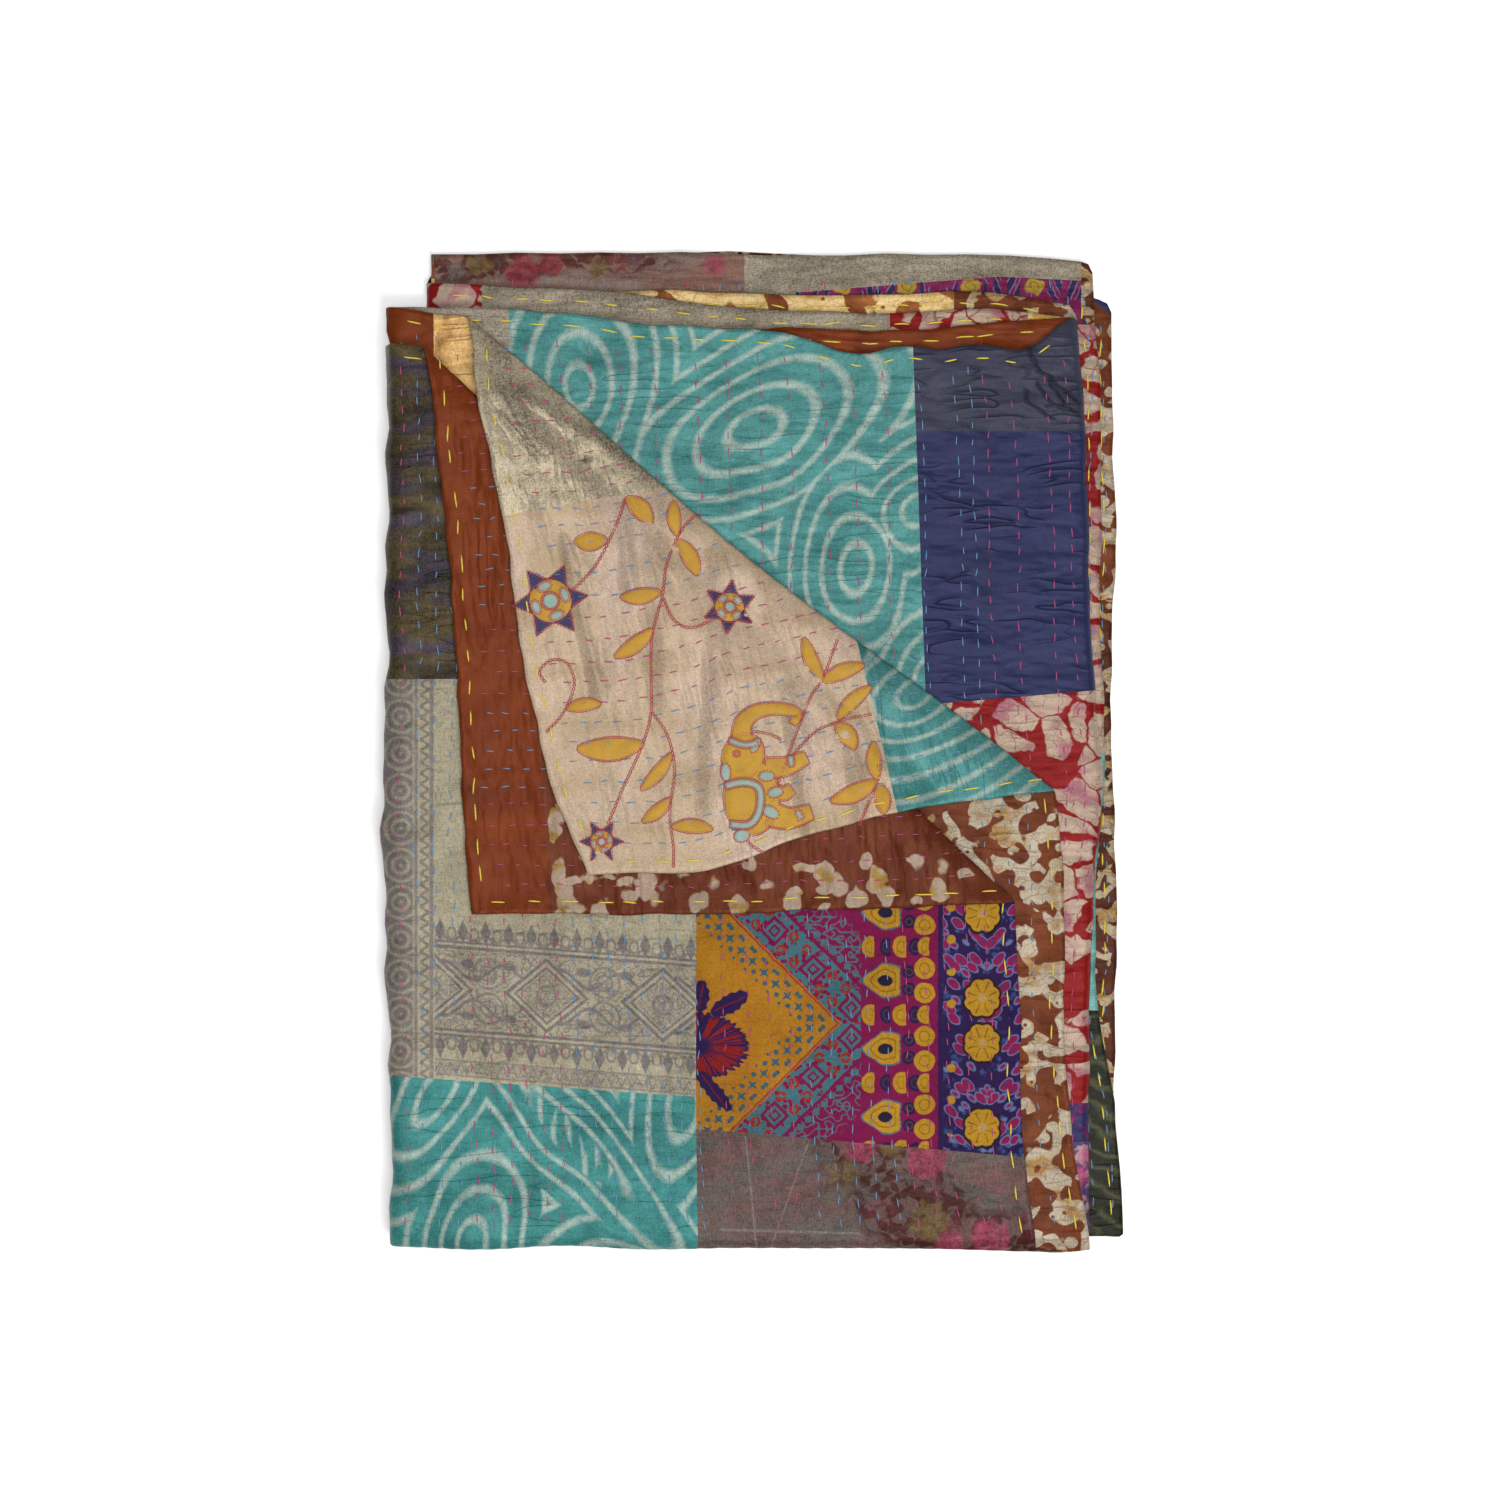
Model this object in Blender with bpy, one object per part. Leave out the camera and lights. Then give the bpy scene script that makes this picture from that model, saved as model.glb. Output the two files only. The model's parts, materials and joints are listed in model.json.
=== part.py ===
"""A kantha quilt of patched cloth, folded flat for storage.

The sheet is folded in half along the bottom, which gives it two plies. The doubled sheet
is then folded back and forth into four panels, so eight layers lie one over the other.
The top right corners of the two upper layers are turned down to the lower left.

x runs to the right, y away from the bottom fold and z up. Metres.
"""

import math

import bmesh
import bpy
import numpy as np
from mathutils import Vector

MM = 0.001

THICK = 2.0 * MM  # two cloths and what lies between them
PITCH = 3.8 * MM  # from the middle of one layer to the middle of the next

# Levels count the layers from the bottom one, which is 1. A ply is half a level from the
# middle of its panel, and a fold joins two panels whose middles are two levels apart.
PANEL_LEVEL = (7.5, 5.5, 3.5, 1.5)
FOLD_LEVEL = (6.5, 4.5, 2.5)
PLY = 0.5
FOLD_RADIUS = 1.0
LEVEL_A = PANEL_LEVEL[0] + PLY
LEVEL_B = PANEL_LEVEL[0] - PLY

# Side to side place of each fold and side hem, in mm, at even steps of height from the
# bottom fold to the top hem.
SIDES = {
    "first fold": (-298.0, -296.5, -299.5, -300.5, -302.5, -298.5, -299.5, -298.0, -300.0),
    "second fold": (273.0, 272.8, 272.6, 277.4, 284.0, 277.0, 275.0, 272.5, 268.0),
    "third fold": (-279.0, -276.0, -277.5, -274.0, -275.0, -272.0, -273.0, -270.0, -269.5),
    "hem A": (227.0, 216.3, 215.2, 211.5, 210.0, 206.0, 202.3, 195.5, 189.3),
    "hem B": (268.0, 257.5, 252.3, 250.0, 238.0, 229.0, 230.0, 241.0, 225.0),
    "hem G": (298.5, 291.0, 279.0, 276.5, 284.5, 281.5, 282.5, 281.0, 274.5),
    "hem H": (292.0, 290.5, 293.0, 296.0, 292.0, 293.0, 296.0, 292.2, 289.0),
}

# Height of each layer's top hem, in mm, at even steps from its left end to its right one.
TOPS = {
    "A": (329.3, 323.0, 321.5, 318.4, 318.0, 317.8, 319.0, 319.8, 318.4),
    "B": (360.2, 351.5, 356.8, 357.0, 359.4, 366.0, 366.9, 365.0, 352.4),
    "C": (360.2, 359.6, 355.5, 346.5, 343.6, 324.0, 328.9, 333.0, 362.0),
    "D": (329.3, 333.0, 337.0, 341.0, 343.9, 343.9, 342.0, 348.0, 353.0),
    "E": (381.0, 378.0, 375.5, 367.5, 360.5, 357.5, 357.0, 361.0, 353.0),
    "F": (394.0, 380.0, 377.0, 375.0, 373.5, 371.0, 373.5, 374.5, 362.0),
    "G": (394.0, 406.0, 405.0, 406.0, 405.0, 404.0, 404.0, 400.0, 388.0),
    "H": (381.0, 398.0, 405.0, 408.0, 407.0, 402.0, 397.0, 388.0, 368.0),
}

# Height of each panel's bottom fold, in mm, at even steps from left to right.
BOTTOMS = (
    (-400.5, -404.5, -402.0, -404.8, -402.8, -403.0, -403.6, -405.0, -406.0),
    (-396.0, -398.0, -397.0, -399.0, -396.5, -398.5, -397.0, -396.0, -395.0),
    (-393.0, -395.5, -394.0, -396.0, -393.5, -395.0, -396.0, -394.0, -395.0),
    (-393.0, -394.0, -396.5, -394.5, -395.0, -393.0, -394.0, -392.0, -392.5),
)

# Per panel: the layer that each ply is, which way up the plies lie, and its two ends.
PANELS = (
    {"plies": ("A", "B"), "up": 1, "left": ("first fold",) * 2, "right": ("hem A", "hem B")},
    {"plies": ("D", "C"), "up": -1, "left": ("first fold",) * 2, "right": ("second fold",) * 2},
    {"plies": ("E", "F"), "up": 1, "left": ("third fold",) * 2, "right": ("second fold",) * 2},
    {"plies": ("H", "G"), "up": -1, "left": ("third fold",) * 2, "right": ("hem H", "hem G")},
)

# The lines that the two corners are turned down along: two points on each, in mm. The
# corner of layer B climbs over the fold of layer A within the ramp.
TURN_A = ((-230.2, 289.3), (128.4, -47.3))
TURN_B = ((-174.0, 301.6), (220.5, -16.3))
RAMP = (28.0, 20.0, 11.0, 3.0)  # mm before the fold of A, from its foot to its head
RAMP_LEVELS = 2.0

# Rows of stitches draw the cloth in, so that it ripples a little from side to side.
RIPPLE = 0.35 * MM
CELLS_ACROSS = (32, 32, 8, 8)
CELLS_UP = 9
TURN_STEPS = 4  # faces round a fold
SWELL = 0.22  # how much further apart the layers are at the folds than in the middle
SWELL_REACH = 55 * MM
MOST_SWELL = 1.2  # both folded edges together, as a share of SWELL
UNEVEN = 0.05
UNEVEN_WIDTHS = (80 * MM, 130 * MM)

# The quilt lies on its four corners, which the layers above press down, and its middle
# is a little off the surface. Each direction's reach: where the corner starts and ends.
CORNER_DROP = 0.4 * MM
CORNER_X = (200 * MM, 270 * MM)
CORNER_Y = (300 * MM, 380 * MM)
SAME = 1e-6  # levels this close are one layer
SNAP = 2e-5  # a point this near a cut is put on it

OCHRE = (0.42, 0.33, 0.24, 1.0)


def along(table, share):
    """The table's value, in metres, at a share from 0 to 1 of its length."""
    places = np.linspace(0.0, 1.0, len(table))
    return float(np.interp(share, places, table)) * MM


def column_list():
    """The sheet's columns: (panel, share across it) or (fold, angle round it)."""
    columns = []
    for panel, cells in enumerate(CELLS_ACROSS):
        shares = np.linspace(0.0, 1.0, cells + 1)
        if panel % 2 == 0:  # the first panel starts at its free right hem
            shares = shares[::-1]
        columns += [("panel", panel, float(share)) for share in shares]
        if panel < 3:
            turns = np.linspace(0.0, math.pi, TURN_STEPS + 1)[1:-1]
            columns += [("fold", panel, float(turn)) for turn in turns]
    return columns


def row_list():
    """The sheet's rows: (ply, share up it) or the angle round the bottom fold."""
    shares = np.linspace(0.0, 1.0, CELLS_UP + 1)
    turns = np.linspace(0.0, math.pi, TURN_STEPS + 1)[1:-1]
    rows = [("ply", 0, float(share)) for share in shares[::-1]]
    rows += [("turn", 0, float(turn)) for turn in turns]
    return rows + [("ply", 1, float(share)) for share in shares]


def height_on(panel, share, row):
    """(y, distance from the panel's middle in levels) on a row of a panel."""
    kind, ply, value = row
    bottom = along(BOTTOMS[panel], share) + PLY * PITCH
    if kind == "turn":
        return bottom - PLY * PITCH * math.sin(value), PLY * math.cos(value)
    top = along(TOPS[PANELS[panel]["plies"][ply]], share)
    return bottom + value * (top - bottom), PLY if ply == 0 else -PLY


def side_of(panel, end, row):
    """x of one end of the panel on a row. Between the plies it goes from one to the other."""
    kind, ply, value = row
    names = PANELS[panel][end]
    if kind == "ply":
        return along(SIDES[names[ply]], value)
    part = value / math.pi
    return (1 - part) * along(SIDES[names[0]], 0) + part * along(SIDES[names[1]], 0)


def point_on(column, row):
    """(x, y, level) of the middle of the cloth, with its corners not yet turned down."""
    kind, index, value = column
    reach = (FOLD_RADIUS + PLY) * PITCH
    if kind == "panel":
        y, off = height_on(index, value, row)
        left = side_of(index, "left", row) + reach
        right = side_of(index, "right", row)
        if PANELS[index]["right"][0] == "second fold":
            right -= reach
        level = PANEL_LEVEL[index] + PANELS[index]["up"] * off
        return left + value * (right - left), y, level
    at_right = index == 1
    way = 1 if at_right else -1
    share = 1.0 if at_right else 0.0
    y, off = height_on(index, share, row)
    edge = side_of(index, "right" if at_right else "left", row)
    radius = FOLD_RADIUS - way * off
    x = edge - way * reach + way * radius * PITCH * math.sin(value)
    if row[0] == "ply":  # the hem goes from the upper layer's height to the lower one's
        below, _ = height_on(index + 1, share, row)
        y += (below - y) * value / math.pi
    return x, y, FOLD_LEVEL[index] + radius * math.cos(value)


def line_through(ends):
    """(point, normal to the upper right) of a line given by two points in mm."""
    a, b = (Vector((x, y)) * MM for x, y in ends)
    way = (b - a).normalized()
    return a, Vector((-way.y, way.x))


def cut_along(bm, level, ends, offsets):
    """Cuts the faces of one layer along lines parallel to the one given."""
    start, normal = line_through(ends)
    for offset in offsets:
        faces = [f for f in bm.faces if all(abs(v.co.z - level) < SAME for v in f.verts)]
        edges = {e for f in faces for e in f.edges}
        verts = {v for f in faces for v in f.verts}
        place = start + normal * offset
        bmesh.ops.bisect_plane(
            bm,
            geom=faces + list(edges) + list(verts),
            dist=SNAP,
            plane_co=(place.x, place.y, 0.0),
            plane_no=(normal.x, normal.y, 0.0),
        )


def mirrored(ends, about):
    """Two points in mm, mirrored about a line given by two points in mm."""
    start, normal = line_through(about)
    found = []
    for x, y in ends:
        place = Vector((x, y)) * MM
        place = place - 2 * (place - start).dot(normal) * normal
        found.append((place.x / MM, place.y / MM))
    return found


def turned_down(x, y, level, ends):
    """Where a point of a layer goes once what lies past the line is turned over it."""
    start, normal = line_through(ends)
    radius = PLY * PITCH
    place = Vector((x, y))
    past = (place - start).dot(normal) + radius
    if past <= 0:
        return x, y, level
    foot = place - normal * past
    if past < math.pi * radius:
        place = foot + normal * radius * math.sin(past / radius)
        return place.x, place.y, level + PLY * (1 - math.cos(past / radius))
    place = foot - normal * (past - math.pi * radius)
    return place.x, place.y, level + 2 * PLY


def climbed(x, y, level):
    """The level of layer B's corner, which lies on B first and then on the corner of A."""
    start, normal = line_through(TURN_A)
    before = (Vector((x, y)) - start).dot(normal) / MM
    return level + RAMP_LEVELS * rise(RAMP[0] - min(before, RAMP[0]), (0, RAMP[0] - RAMP[-1]))


def spread(x, y):
    """How far apart the layers are at a place, 1 being PITCH: more at the folded edges."""
    left = (x / MM - SIDES["first fold"][0]) * MM
    bottom = (y / MM - BOTTOMS[0][0]) * MM
    swell = math.exp(-max(left, 0) / SWELL_REACH) + math.exp(-max(bottom, 0) / SWELL_REACH)
    wide, long = UNEVEN_WIDTHS
    uneven = math.sin(x / wide + math.sin(y / long)) * math.cos(y / wide)
    return 1.0 + SWELL * min(swell, MOST_SWELL) + UNEVEN * uneven


def rise(distance, reach):
    """0 before the reach, 1 past it and smooth between."""
    share = min(1.0, max(0.0, (abs(distance) - reach[0]) / (reach[1] - reach[0])))
    return share * share * (3 - 2 * share)


def lift(x, y):
    """How far the underside is above its corners."""
    return CORNER_DROP * (1 - rise(x, CORNER_X) * rise(y, CORNER_Y))


def flat_sheet():
    """A bmesh of the folded sheet's middle, with z holding the level."""
    columns = column_list()
    rows = row_list()
    bm = bmesh.new()
    ripple = bm.verts.layers.float.new("ripple")
    grid = []
    for column in columns:
        kind, index, value = column
        line = []
        for row in rows:
            vert = bm.verts.new(point_on(column, row))
            if kind == "panel" and index < 2 and row[0] == "ply":
                cell = round(value * CELLS_ACROSS[index])
                vert[ripple] = 1.0 if cell % 2 else -1.0
            line.append(vert)
        grid.append(line)
    for left, right in zip(grid, grid[1:]):
        for low in range(len(rows) - 1):
            bm.faces.new((left[low], left[low + 1], right[low + 1], right[low]))
    return bm, ripple


def fold_corners(bm, ripple):
    """Turns the corners of layers A and B down, and gives every point its real height."""
    radius = PLY * PITCH
    round_it = [radius * (math.pi * step / TURN_STEPS - 1) for step in range(TURN_STEPS + 1)]
    cut_along(bm, LEVEL_A, TURN_A, round_it)
    cut_along(bm, LEVEL_B, TURN_B, round_it)
    foot_of_ramp = mirrored(TURN_A, TURN_B)
    cut_along(bm, LEVEL_B, foot_of_ramp, [-offset * MM for offset in RAMP])
    for vert in bm.verts:
        x, y, level = vert.co
        wave = vert[ripple]
        if abs(level - LEVEL_A) < SAME:
            x, y, level = turned_down(x, y, level, TURN_A)
        elif abs(level - LEVEL_B) < SAME:
            x, y, level = turned_down(x, y, level, TURN_B)
            if level > LEVEL_B + PLY:
                level = climbed(x, y, level)
        z = THICK / 2 + (level - 1) * PITCH * spread(x, y) + wave * RIPPLE + lift(x, y)
        vert.co = (x, y, z)


def thickened(bm):
    """Points and faces of the closed sheet, half its thickness to each side of the middle."""
    bm.normal_update()
    bmesh.ops.triangulate(bm, faces=bm.faces)
    bm.normal_update()
    bm.verts.ensure_lookup_table()
    bm.verts.index_update()
    middle = np.array([v.co for v in bm.verts])
    normal = np.array([v.normal for v in bm.verts])
    points = np.vstack([middle + normal * THICK / 2, middle - normal * THICK / 2])
    count = len(middle)
    faces = []
    for face in bm.faces:
        a, b, c = (v.index for v in face.verts)
        faces += [(a, b, c), (a + count, c + count, b + count)]
    for edge in bm.edges:
        if edge.is_boundary:
            loop = edge.link_loops[0]
            a, b = loop.vert.index, loop.link_loop_next.vert.index
            faces.append((a, a + count, b + count, b))
    return points, faces


def centred(points):
    """The points moved so that their box stands on z = 0 with its middle over the origin."""
    low, high = points.min(axis=0), points.max(axis=0)
    return points - np.array([(low[0] + high[0]) / 2, (low[1] + high[1]) / 2, low[2]])


def cloth_material():
    material = bpy.data.materials.new("patched_silk")
    material.use_nodes = True
    shader = material.node_tree.nodes["Principled BSDF"]
    shader.inputs["Base Color"].default_value = OCHRE
    shader.inputs["Roughness"].default_value = 0.75
    return material


def main():
    for obj in list(bpy.data.objects):
        bpy.data.objects.remove(obj)
    bm, ripple = flat_sheet()
    fold_corners(bm, ripple)
    points, faces = thickened(bm)
    bm.free()
    mesh = bpy.data.meshes.new("quilt")
    mesh.from_pydata(centred(points).tolist(), [], faces)
    mesh.validate()
    mesh.materials.append(cloth_material())
    quilt = bpy.data.objects.new("quilt", mesh)
    bpy.context.scene.collection.objects.link(quilt)
    check = bmesh.new()
    check.from_mesh(mesh)
    bmesh.ops.recalc_face_normals(check, faces=check.faces)
    if check.calc_volume(signed=True) < 0:
        bmesh.ops.reverse_faces(check, faces=check.faces)
    check.to_mesh(mesh)
    check.free()


main()
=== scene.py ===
# %% [markdown]
# # A folded kantha quilt
#
# The quilt is one sheet of patched cloth. It is folded in half along the bottom, which
# gives it two plies, and the doubled sheet is folded back and forth into four panels, so
# eight layers lie one over the other. The top right corners of the two upper layers are
# turned down. Lengths in the tables are millimetres, x to the right and y away from the
# bottom fold, measured from the middle of the folded quilt.

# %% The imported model
import json
import math
import bpy
import numpy as np
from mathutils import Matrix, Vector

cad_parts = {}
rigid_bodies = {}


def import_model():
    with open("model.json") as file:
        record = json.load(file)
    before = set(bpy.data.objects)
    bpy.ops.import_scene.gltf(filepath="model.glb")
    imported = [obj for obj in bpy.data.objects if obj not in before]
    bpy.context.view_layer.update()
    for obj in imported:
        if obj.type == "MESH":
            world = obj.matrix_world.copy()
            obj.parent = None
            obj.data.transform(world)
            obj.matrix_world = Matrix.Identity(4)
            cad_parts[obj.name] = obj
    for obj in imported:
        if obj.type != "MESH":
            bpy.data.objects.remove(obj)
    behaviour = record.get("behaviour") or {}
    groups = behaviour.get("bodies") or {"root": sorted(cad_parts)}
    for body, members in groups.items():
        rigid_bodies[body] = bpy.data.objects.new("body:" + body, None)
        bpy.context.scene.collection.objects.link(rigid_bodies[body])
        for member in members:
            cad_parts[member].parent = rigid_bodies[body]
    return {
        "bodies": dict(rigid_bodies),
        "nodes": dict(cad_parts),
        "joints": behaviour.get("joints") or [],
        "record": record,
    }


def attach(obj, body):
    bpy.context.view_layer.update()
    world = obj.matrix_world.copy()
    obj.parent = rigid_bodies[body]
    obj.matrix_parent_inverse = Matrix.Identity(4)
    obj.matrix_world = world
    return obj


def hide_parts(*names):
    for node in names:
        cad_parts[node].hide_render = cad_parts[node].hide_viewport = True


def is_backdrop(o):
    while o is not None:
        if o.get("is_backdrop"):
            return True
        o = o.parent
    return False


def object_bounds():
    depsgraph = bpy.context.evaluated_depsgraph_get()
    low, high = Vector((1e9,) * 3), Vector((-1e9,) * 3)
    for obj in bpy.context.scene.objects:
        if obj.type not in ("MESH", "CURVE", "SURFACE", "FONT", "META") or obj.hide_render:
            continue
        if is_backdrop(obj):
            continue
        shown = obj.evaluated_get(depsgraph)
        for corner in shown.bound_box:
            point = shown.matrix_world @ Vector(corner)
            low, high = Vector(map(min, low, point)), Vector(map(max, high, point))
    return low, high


for thing in list(bpy.data.objects):
    bpy.data.objects.remove(thing)
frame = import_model()
cad_low, cad_high = (np.array(corner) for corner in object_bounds())
print("CAD box, mm:", np.round((cad_high - cad_low) * 1000, 1))

# %% [markdown]
# ## The folds
#
# Levels count the layers from the bottom one, which is 1. A ply is half a level from the
# middle of its panel, and a fold joins two panels whose middles are two levels apart.
# The tables give where each fold, side and top hem lies, at even steps along it, measured
# with a ruler on the photograph. A cloth simulation wouldn't end in these places, so the
# sheet is worked out along the tables.

# %% Sizes and tables
MM = 0.001
THICK = 2 * MM  # of the quilted cloth
PITCH = 3.8 * MM  # from one level of the stack to the next
PANEL_LEVEL = (7.5, 5.5, 3.5, 1.5)
FOLD_LEVEL = (6.5, 4.5, 2.5)
PLY = 0.5
FOLD_RADIUS = 1.0  # of a side fold's middle, in levels
LEVEL_A = PANEL_LEVEL[0] + PLY
LEVEL_B = PANEL_LEVEL[0] - PLY

SIDES = {
    "first fold": (-298, -296.5, -299.5, -302, -304, -300.5, -301, -299.5, -301.5),
    "second fold": (266.5, 266.5, 267.2, 270.5, 277.5, 269.5, 266.3, 263.8, 257.4),
    "third fold": (-279, -276, -277.5, -274, -275, -272, -273, -270, -269.5),
    "hem A": (222.5, 211.5, 210, 206, 205.5, 202.5, 200, 194, 188.5),
    "hem B": (266.5, 251.8, 245.5, 246, 238, 229, 230, 241, 225),
    "hem G": (295.5, 289, 274, 274, 280.8, 276.9, 277.4, 276.6, 270.5),
    "hem H": (289, 288, 289.5, 290.5, 287, 286, 290, 287.2, 286.3),
}
TOPS = {
    "A": (329.3, 323, 321.5, 318.4, 318, 317.8, 319, 319.8, 318.4),
    "B": (360.2, 351.5, 356.8, 357, 359.4, 366, 366.9, 365, 352.4),
    "C": (360.2, 360.5, 359.6, 358.5, 355.5, 352, 346.5, 345, 343.6, 341,
          333, 322, 328.9, 327, 330, 327, 351),
    "D": (329.3, 333, 337, 341, 343.9, 343.9, 342, 348, 353),
    "E": (381, 378, 375.5, 367.5, 360.5, 357.5, 357, 361, 353),
    "F": (379, 373, 374.5, 375.5, 373.5, 371, 373.5, 374.5, 364),
    "G": (405.5, 406.5, 406.5, 407, 405, 404.5, 406, 404.5, 399),
    "H": (393, 399, 405, 408, 407, 402, 397, 388, 367),
}
BOTTOMS = (
    (-397.5, -400, -396.8, -400, -398.8, -399, -399, -400.2, -402.5),
    (-396, -398, -397, -399, -396.5, -398.5, -397, -396, -395),
    (-393, -395.5, -394, -396, -393.5, -395, -396, -394, -395),
    (-393, -394, -396.5, -394.5, -395, -393, -394, -392, -392.5),
)
# "up" is 1 where a panel's first ply lies over its second one and -1 where it lies under.
PANELS = (
    {"plies": ("A", "B"), "up": 1, "left": ("first fold",) * 2, "right": ("hem A", "hem B")},
    {"plies": ("D", "C"), "up": -1, "left": ("first fold",) * 2, "right": ("second fold",) * 2},
    {"plies": ("E", "F"), "up": 1, "left": ("third fold",) * 2, "right": ("second fold",) * 2},
    {"plies": ("H", "G"), "up": -1, "left": ("third fold",) * 2, "right": ("hem H", "hem G")},
)
# Past the outer ply's top hem the inner ply springs out of the first fold: how far, and
# the share of the height where this begins and the share over which it grows.
SPRING, SPRING_FROM, SPRING_OVER = 3.5 * MM, 0.955, 0.02
FIRST_WOBBLE = 2.4  # the first fold's edge is this much less even than the others
CORNER_ROUND, CORNER_WIDTH = 8 * MM, 560 * MM  # the lowest panel's corner at the top right
LAYERS = "ABCDEFGH"
PLACE_OF = {"A": (0, 0), "B": (0, 1), "C": (1, 1), "D": (1, 0),
            "E": (2, 0), "F": (2, 1), "G": (3, 1), "H": (3, 0)}

# The fold lines of the turned corners of layers A and B, and the ramp on which B's climbs
# onto A's: where it starts and ends, past the line of A, and how many levels it climbs.
TURN_A = ((-230.2, 289.3), (128.4, -47.3))
TURN_B = ((-174.0, 301.6), (220.5, -16.3))
RAMP_FROM, RAMP_TO, RAMP_LEVELS = 28.0, 3.0, 2.0
print("stack:", len(LAYERS), "layers,", round(len(LAYERS) * PITCH / MM, 1), "mm high")

# %% [markdown]
# ## Where a point of the flat sheet goes
#
# A point is named by its panel, its ply, how far across the panel it is and how far up.
# `flat_point` gives its place in the folded stack: x runs from the left side to the right
# one, y from the bottom fold to the top hem, both read from the tables with a smooth
# curve through their values.

# %% The stack
REACH = (FOLD_RADIUS + PLY) * PITCH


def along(table, share):
    """The table's value in metres at a share of its length, on a smooth curve."""
    values = np.asarray(table, float)
    last = len(values) - 1
    at = np.clip(share, 0, 1) * last
    i = np.minimum(at.astype(int) if hasattr(at, "astype") else int(at), last - 1)
    f = at - i
    p0, p1 = values[np.maximum(i - 1, 0)], values[i]
    p2, p3 = values[i + 1], values[np.minimum(i + 2, last)]
    curve = (p2 - p0) + f * ((2 * p0 - 5 * p1 + 4 * p2 - p3) + f * (3 * (p1 - p2) + p3 - p0))
    return MM * (p1 + 0.5 * f * curve)


def wobble(name, share, size=0.9 * MM):
    """A small unevenness along an edge, none at its ends: three sines of the share."""
    seed = sum(ord(letter) * (place + 1) for place, letter in enumerate(name))
    wave = sum(np.sin(2 * np.pi * (share * turns + seed * turns / 7.3)) / (1 + turns / 9)
               for turns in (7, 12, 19))
    return size * wave * np.clip(12 * share * (1 - share), 0, 1)


def side_at(panel, end, ply, up):
    """The x of a panel's left or right side: its table's value and a wobble."""
    name = PANELS[panel][end][ply]
    at_first = name == "first fold"
    place = along(SIDES[name], up) + wobble(name, up) * (FIRST_WOBBLE if at_first else 1)
    if at_first and ply == 1:
        place = place - SPRING * np.clip((np.asarray(up) - SPRING_FROM) / SPRING_OVER, 0, 1)
    return place


def top_at(panel, ply, across):
    """The y of a layer's top hem: its table's value and a wobble."""
    name = PANELS[panel]["plies"][ply]
    top = along(TOPS[name], across) + wobble("top " + name, across)
    if panel == 3:  # its corner is a quarter circle
        near = 1 - np.clip((1 - np.asarray(across)) * CORNER_WIDTH / CORNER_ROUND, 0, 1)
        top = top - CORNER_ROUND * (1 - np.sqrt(1 - near * near))
    return top


def bottom_at(panel, across):
    """The y where the plies end and the bottom fold's half circle begins."""
    return along(BOTTOMS[panel], across) + PLY * PITCH


def flat_point(panel, ply, across, up):
    """(x, y, level) of points on a panel's ply. across and up are arrays of shares."""
    left = side_at(panel, "left", ply, up) + REACH
    right = side_at(panel, "right", ply, up)
    if PANELS[panel]["right"][0] == "second fold":
        right = right - REACH
    bottom = bottom_at(panel, across)
    y = bottom + up * (top_at(panel, ply, across) - bottom)
    off = PLY if ply == 0 else -PLY
    level = PANEL_LEVEL[panel] + PANELS[panel]["up"] * off
    return left + across * (right - left), y, np.full(np.shape(y), level)


print("top panel's width, mm:", np.round((side_at(0, "right", 0, 0.5)
                                          - side_at(0, "left", 0, 0.5)) / MM, 1))

# %% [markdown]
# ## Turning the corners down
#
# What lies past a line is carried over it: round a half circle of half a level's radius,
# then back flat, one level up. The corner of layer B lies on B first and then climbs two
# levels onto the corner of A, and its fold bows down to the left in its middle.

# %% The turned corners
TURN_RADIUS = PLY * PITCH
SAME = 1e-5  # levels closer than this are one
BOW_B, BOW_WIDE = 9 * MM, 70 * MM  # how far the fold of B bows, and how wide a strip
BOW_BEFORE, BOW_LONG = 60, 560  # the bow begins this far before the line, and its length


def line_through(ends):
    """(a point, the unit vector along, the unit normal to the upper right), in metres."""
    a, b = (np.array(end) * MM for end in ends)
    way = (b - a) / np.linalg.norm(b - a)
    return a, way, np.array([-way[1], way[0]])


def past_line(x, y, ends):
    """How far places lie past a line: the way from a point of it, along its normal."""
    a, _, normal = line_through(ends)
    return (x - a[0]) * normal[0] + (y - a[1]) * normal[1]


def turned_down(x, y, level, ends):
    """What lies past a line, moved along its normal by an arc's sine and raised by its
    cosine, up to a half turn, and from there moved straight back."""
    _, _, normal = line_through(ends)
    past = past_line(x, y, ends) + TURN_RADIUS
    angle = np.clip(past / TURN_RADIUS, 0, math.pi)
    out = TURN_RADIUS * np.sin(angle) - np.maximum(past - math.pi * TURN_RADIUS, 0)
    move = np.where(past > 0, out - past, 0)
    return x + move * normal[0], y + move * normal[1], level + PLY * (1 - np.cos(angle))


def rise(distance, reach):
    """A smooth step from 0 to 1 where the distance goes from one limit to the other."""
    share = np.clip((np.abs(distance) - reach[0]) / (reach[1] - reach[0]), 0, 1)
    return share * share * (3 - 2 * share)


def climbed(x, y, level):
    """The level, raised by a smooth ramp as the line of A comes near."""
    before = past_line(x, y, TURN_A) / MM
    return level + RAMP_LEVELS * rise(RAMP_FROM - np.minimum(before, RAMP_FROM),
                                      (0, RAMP_FROM - RAMP_TO))


def bowed(x, y):
    """Layer B near its diagonal fold, pushed to the lower left: a sine squared along the
    fold times a bell curve across it."""
    a, way, normal = line_through(TURN_B)
    to = (x - a[0]) * way[0] + (y - a[1]) * way[1]
    off = past_line(x, y, TURN_B)
    share = np.clip((to / MM + BOW_BEFORE) / BOW_LONG, 0, 1)
    push = BOW_B * np.sin(math.pi * share) ** 2 * np.exp(-((off / BOW_WIDE) ** 2))
    return x - push * normal[0], y - push * normal[1]


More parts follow.
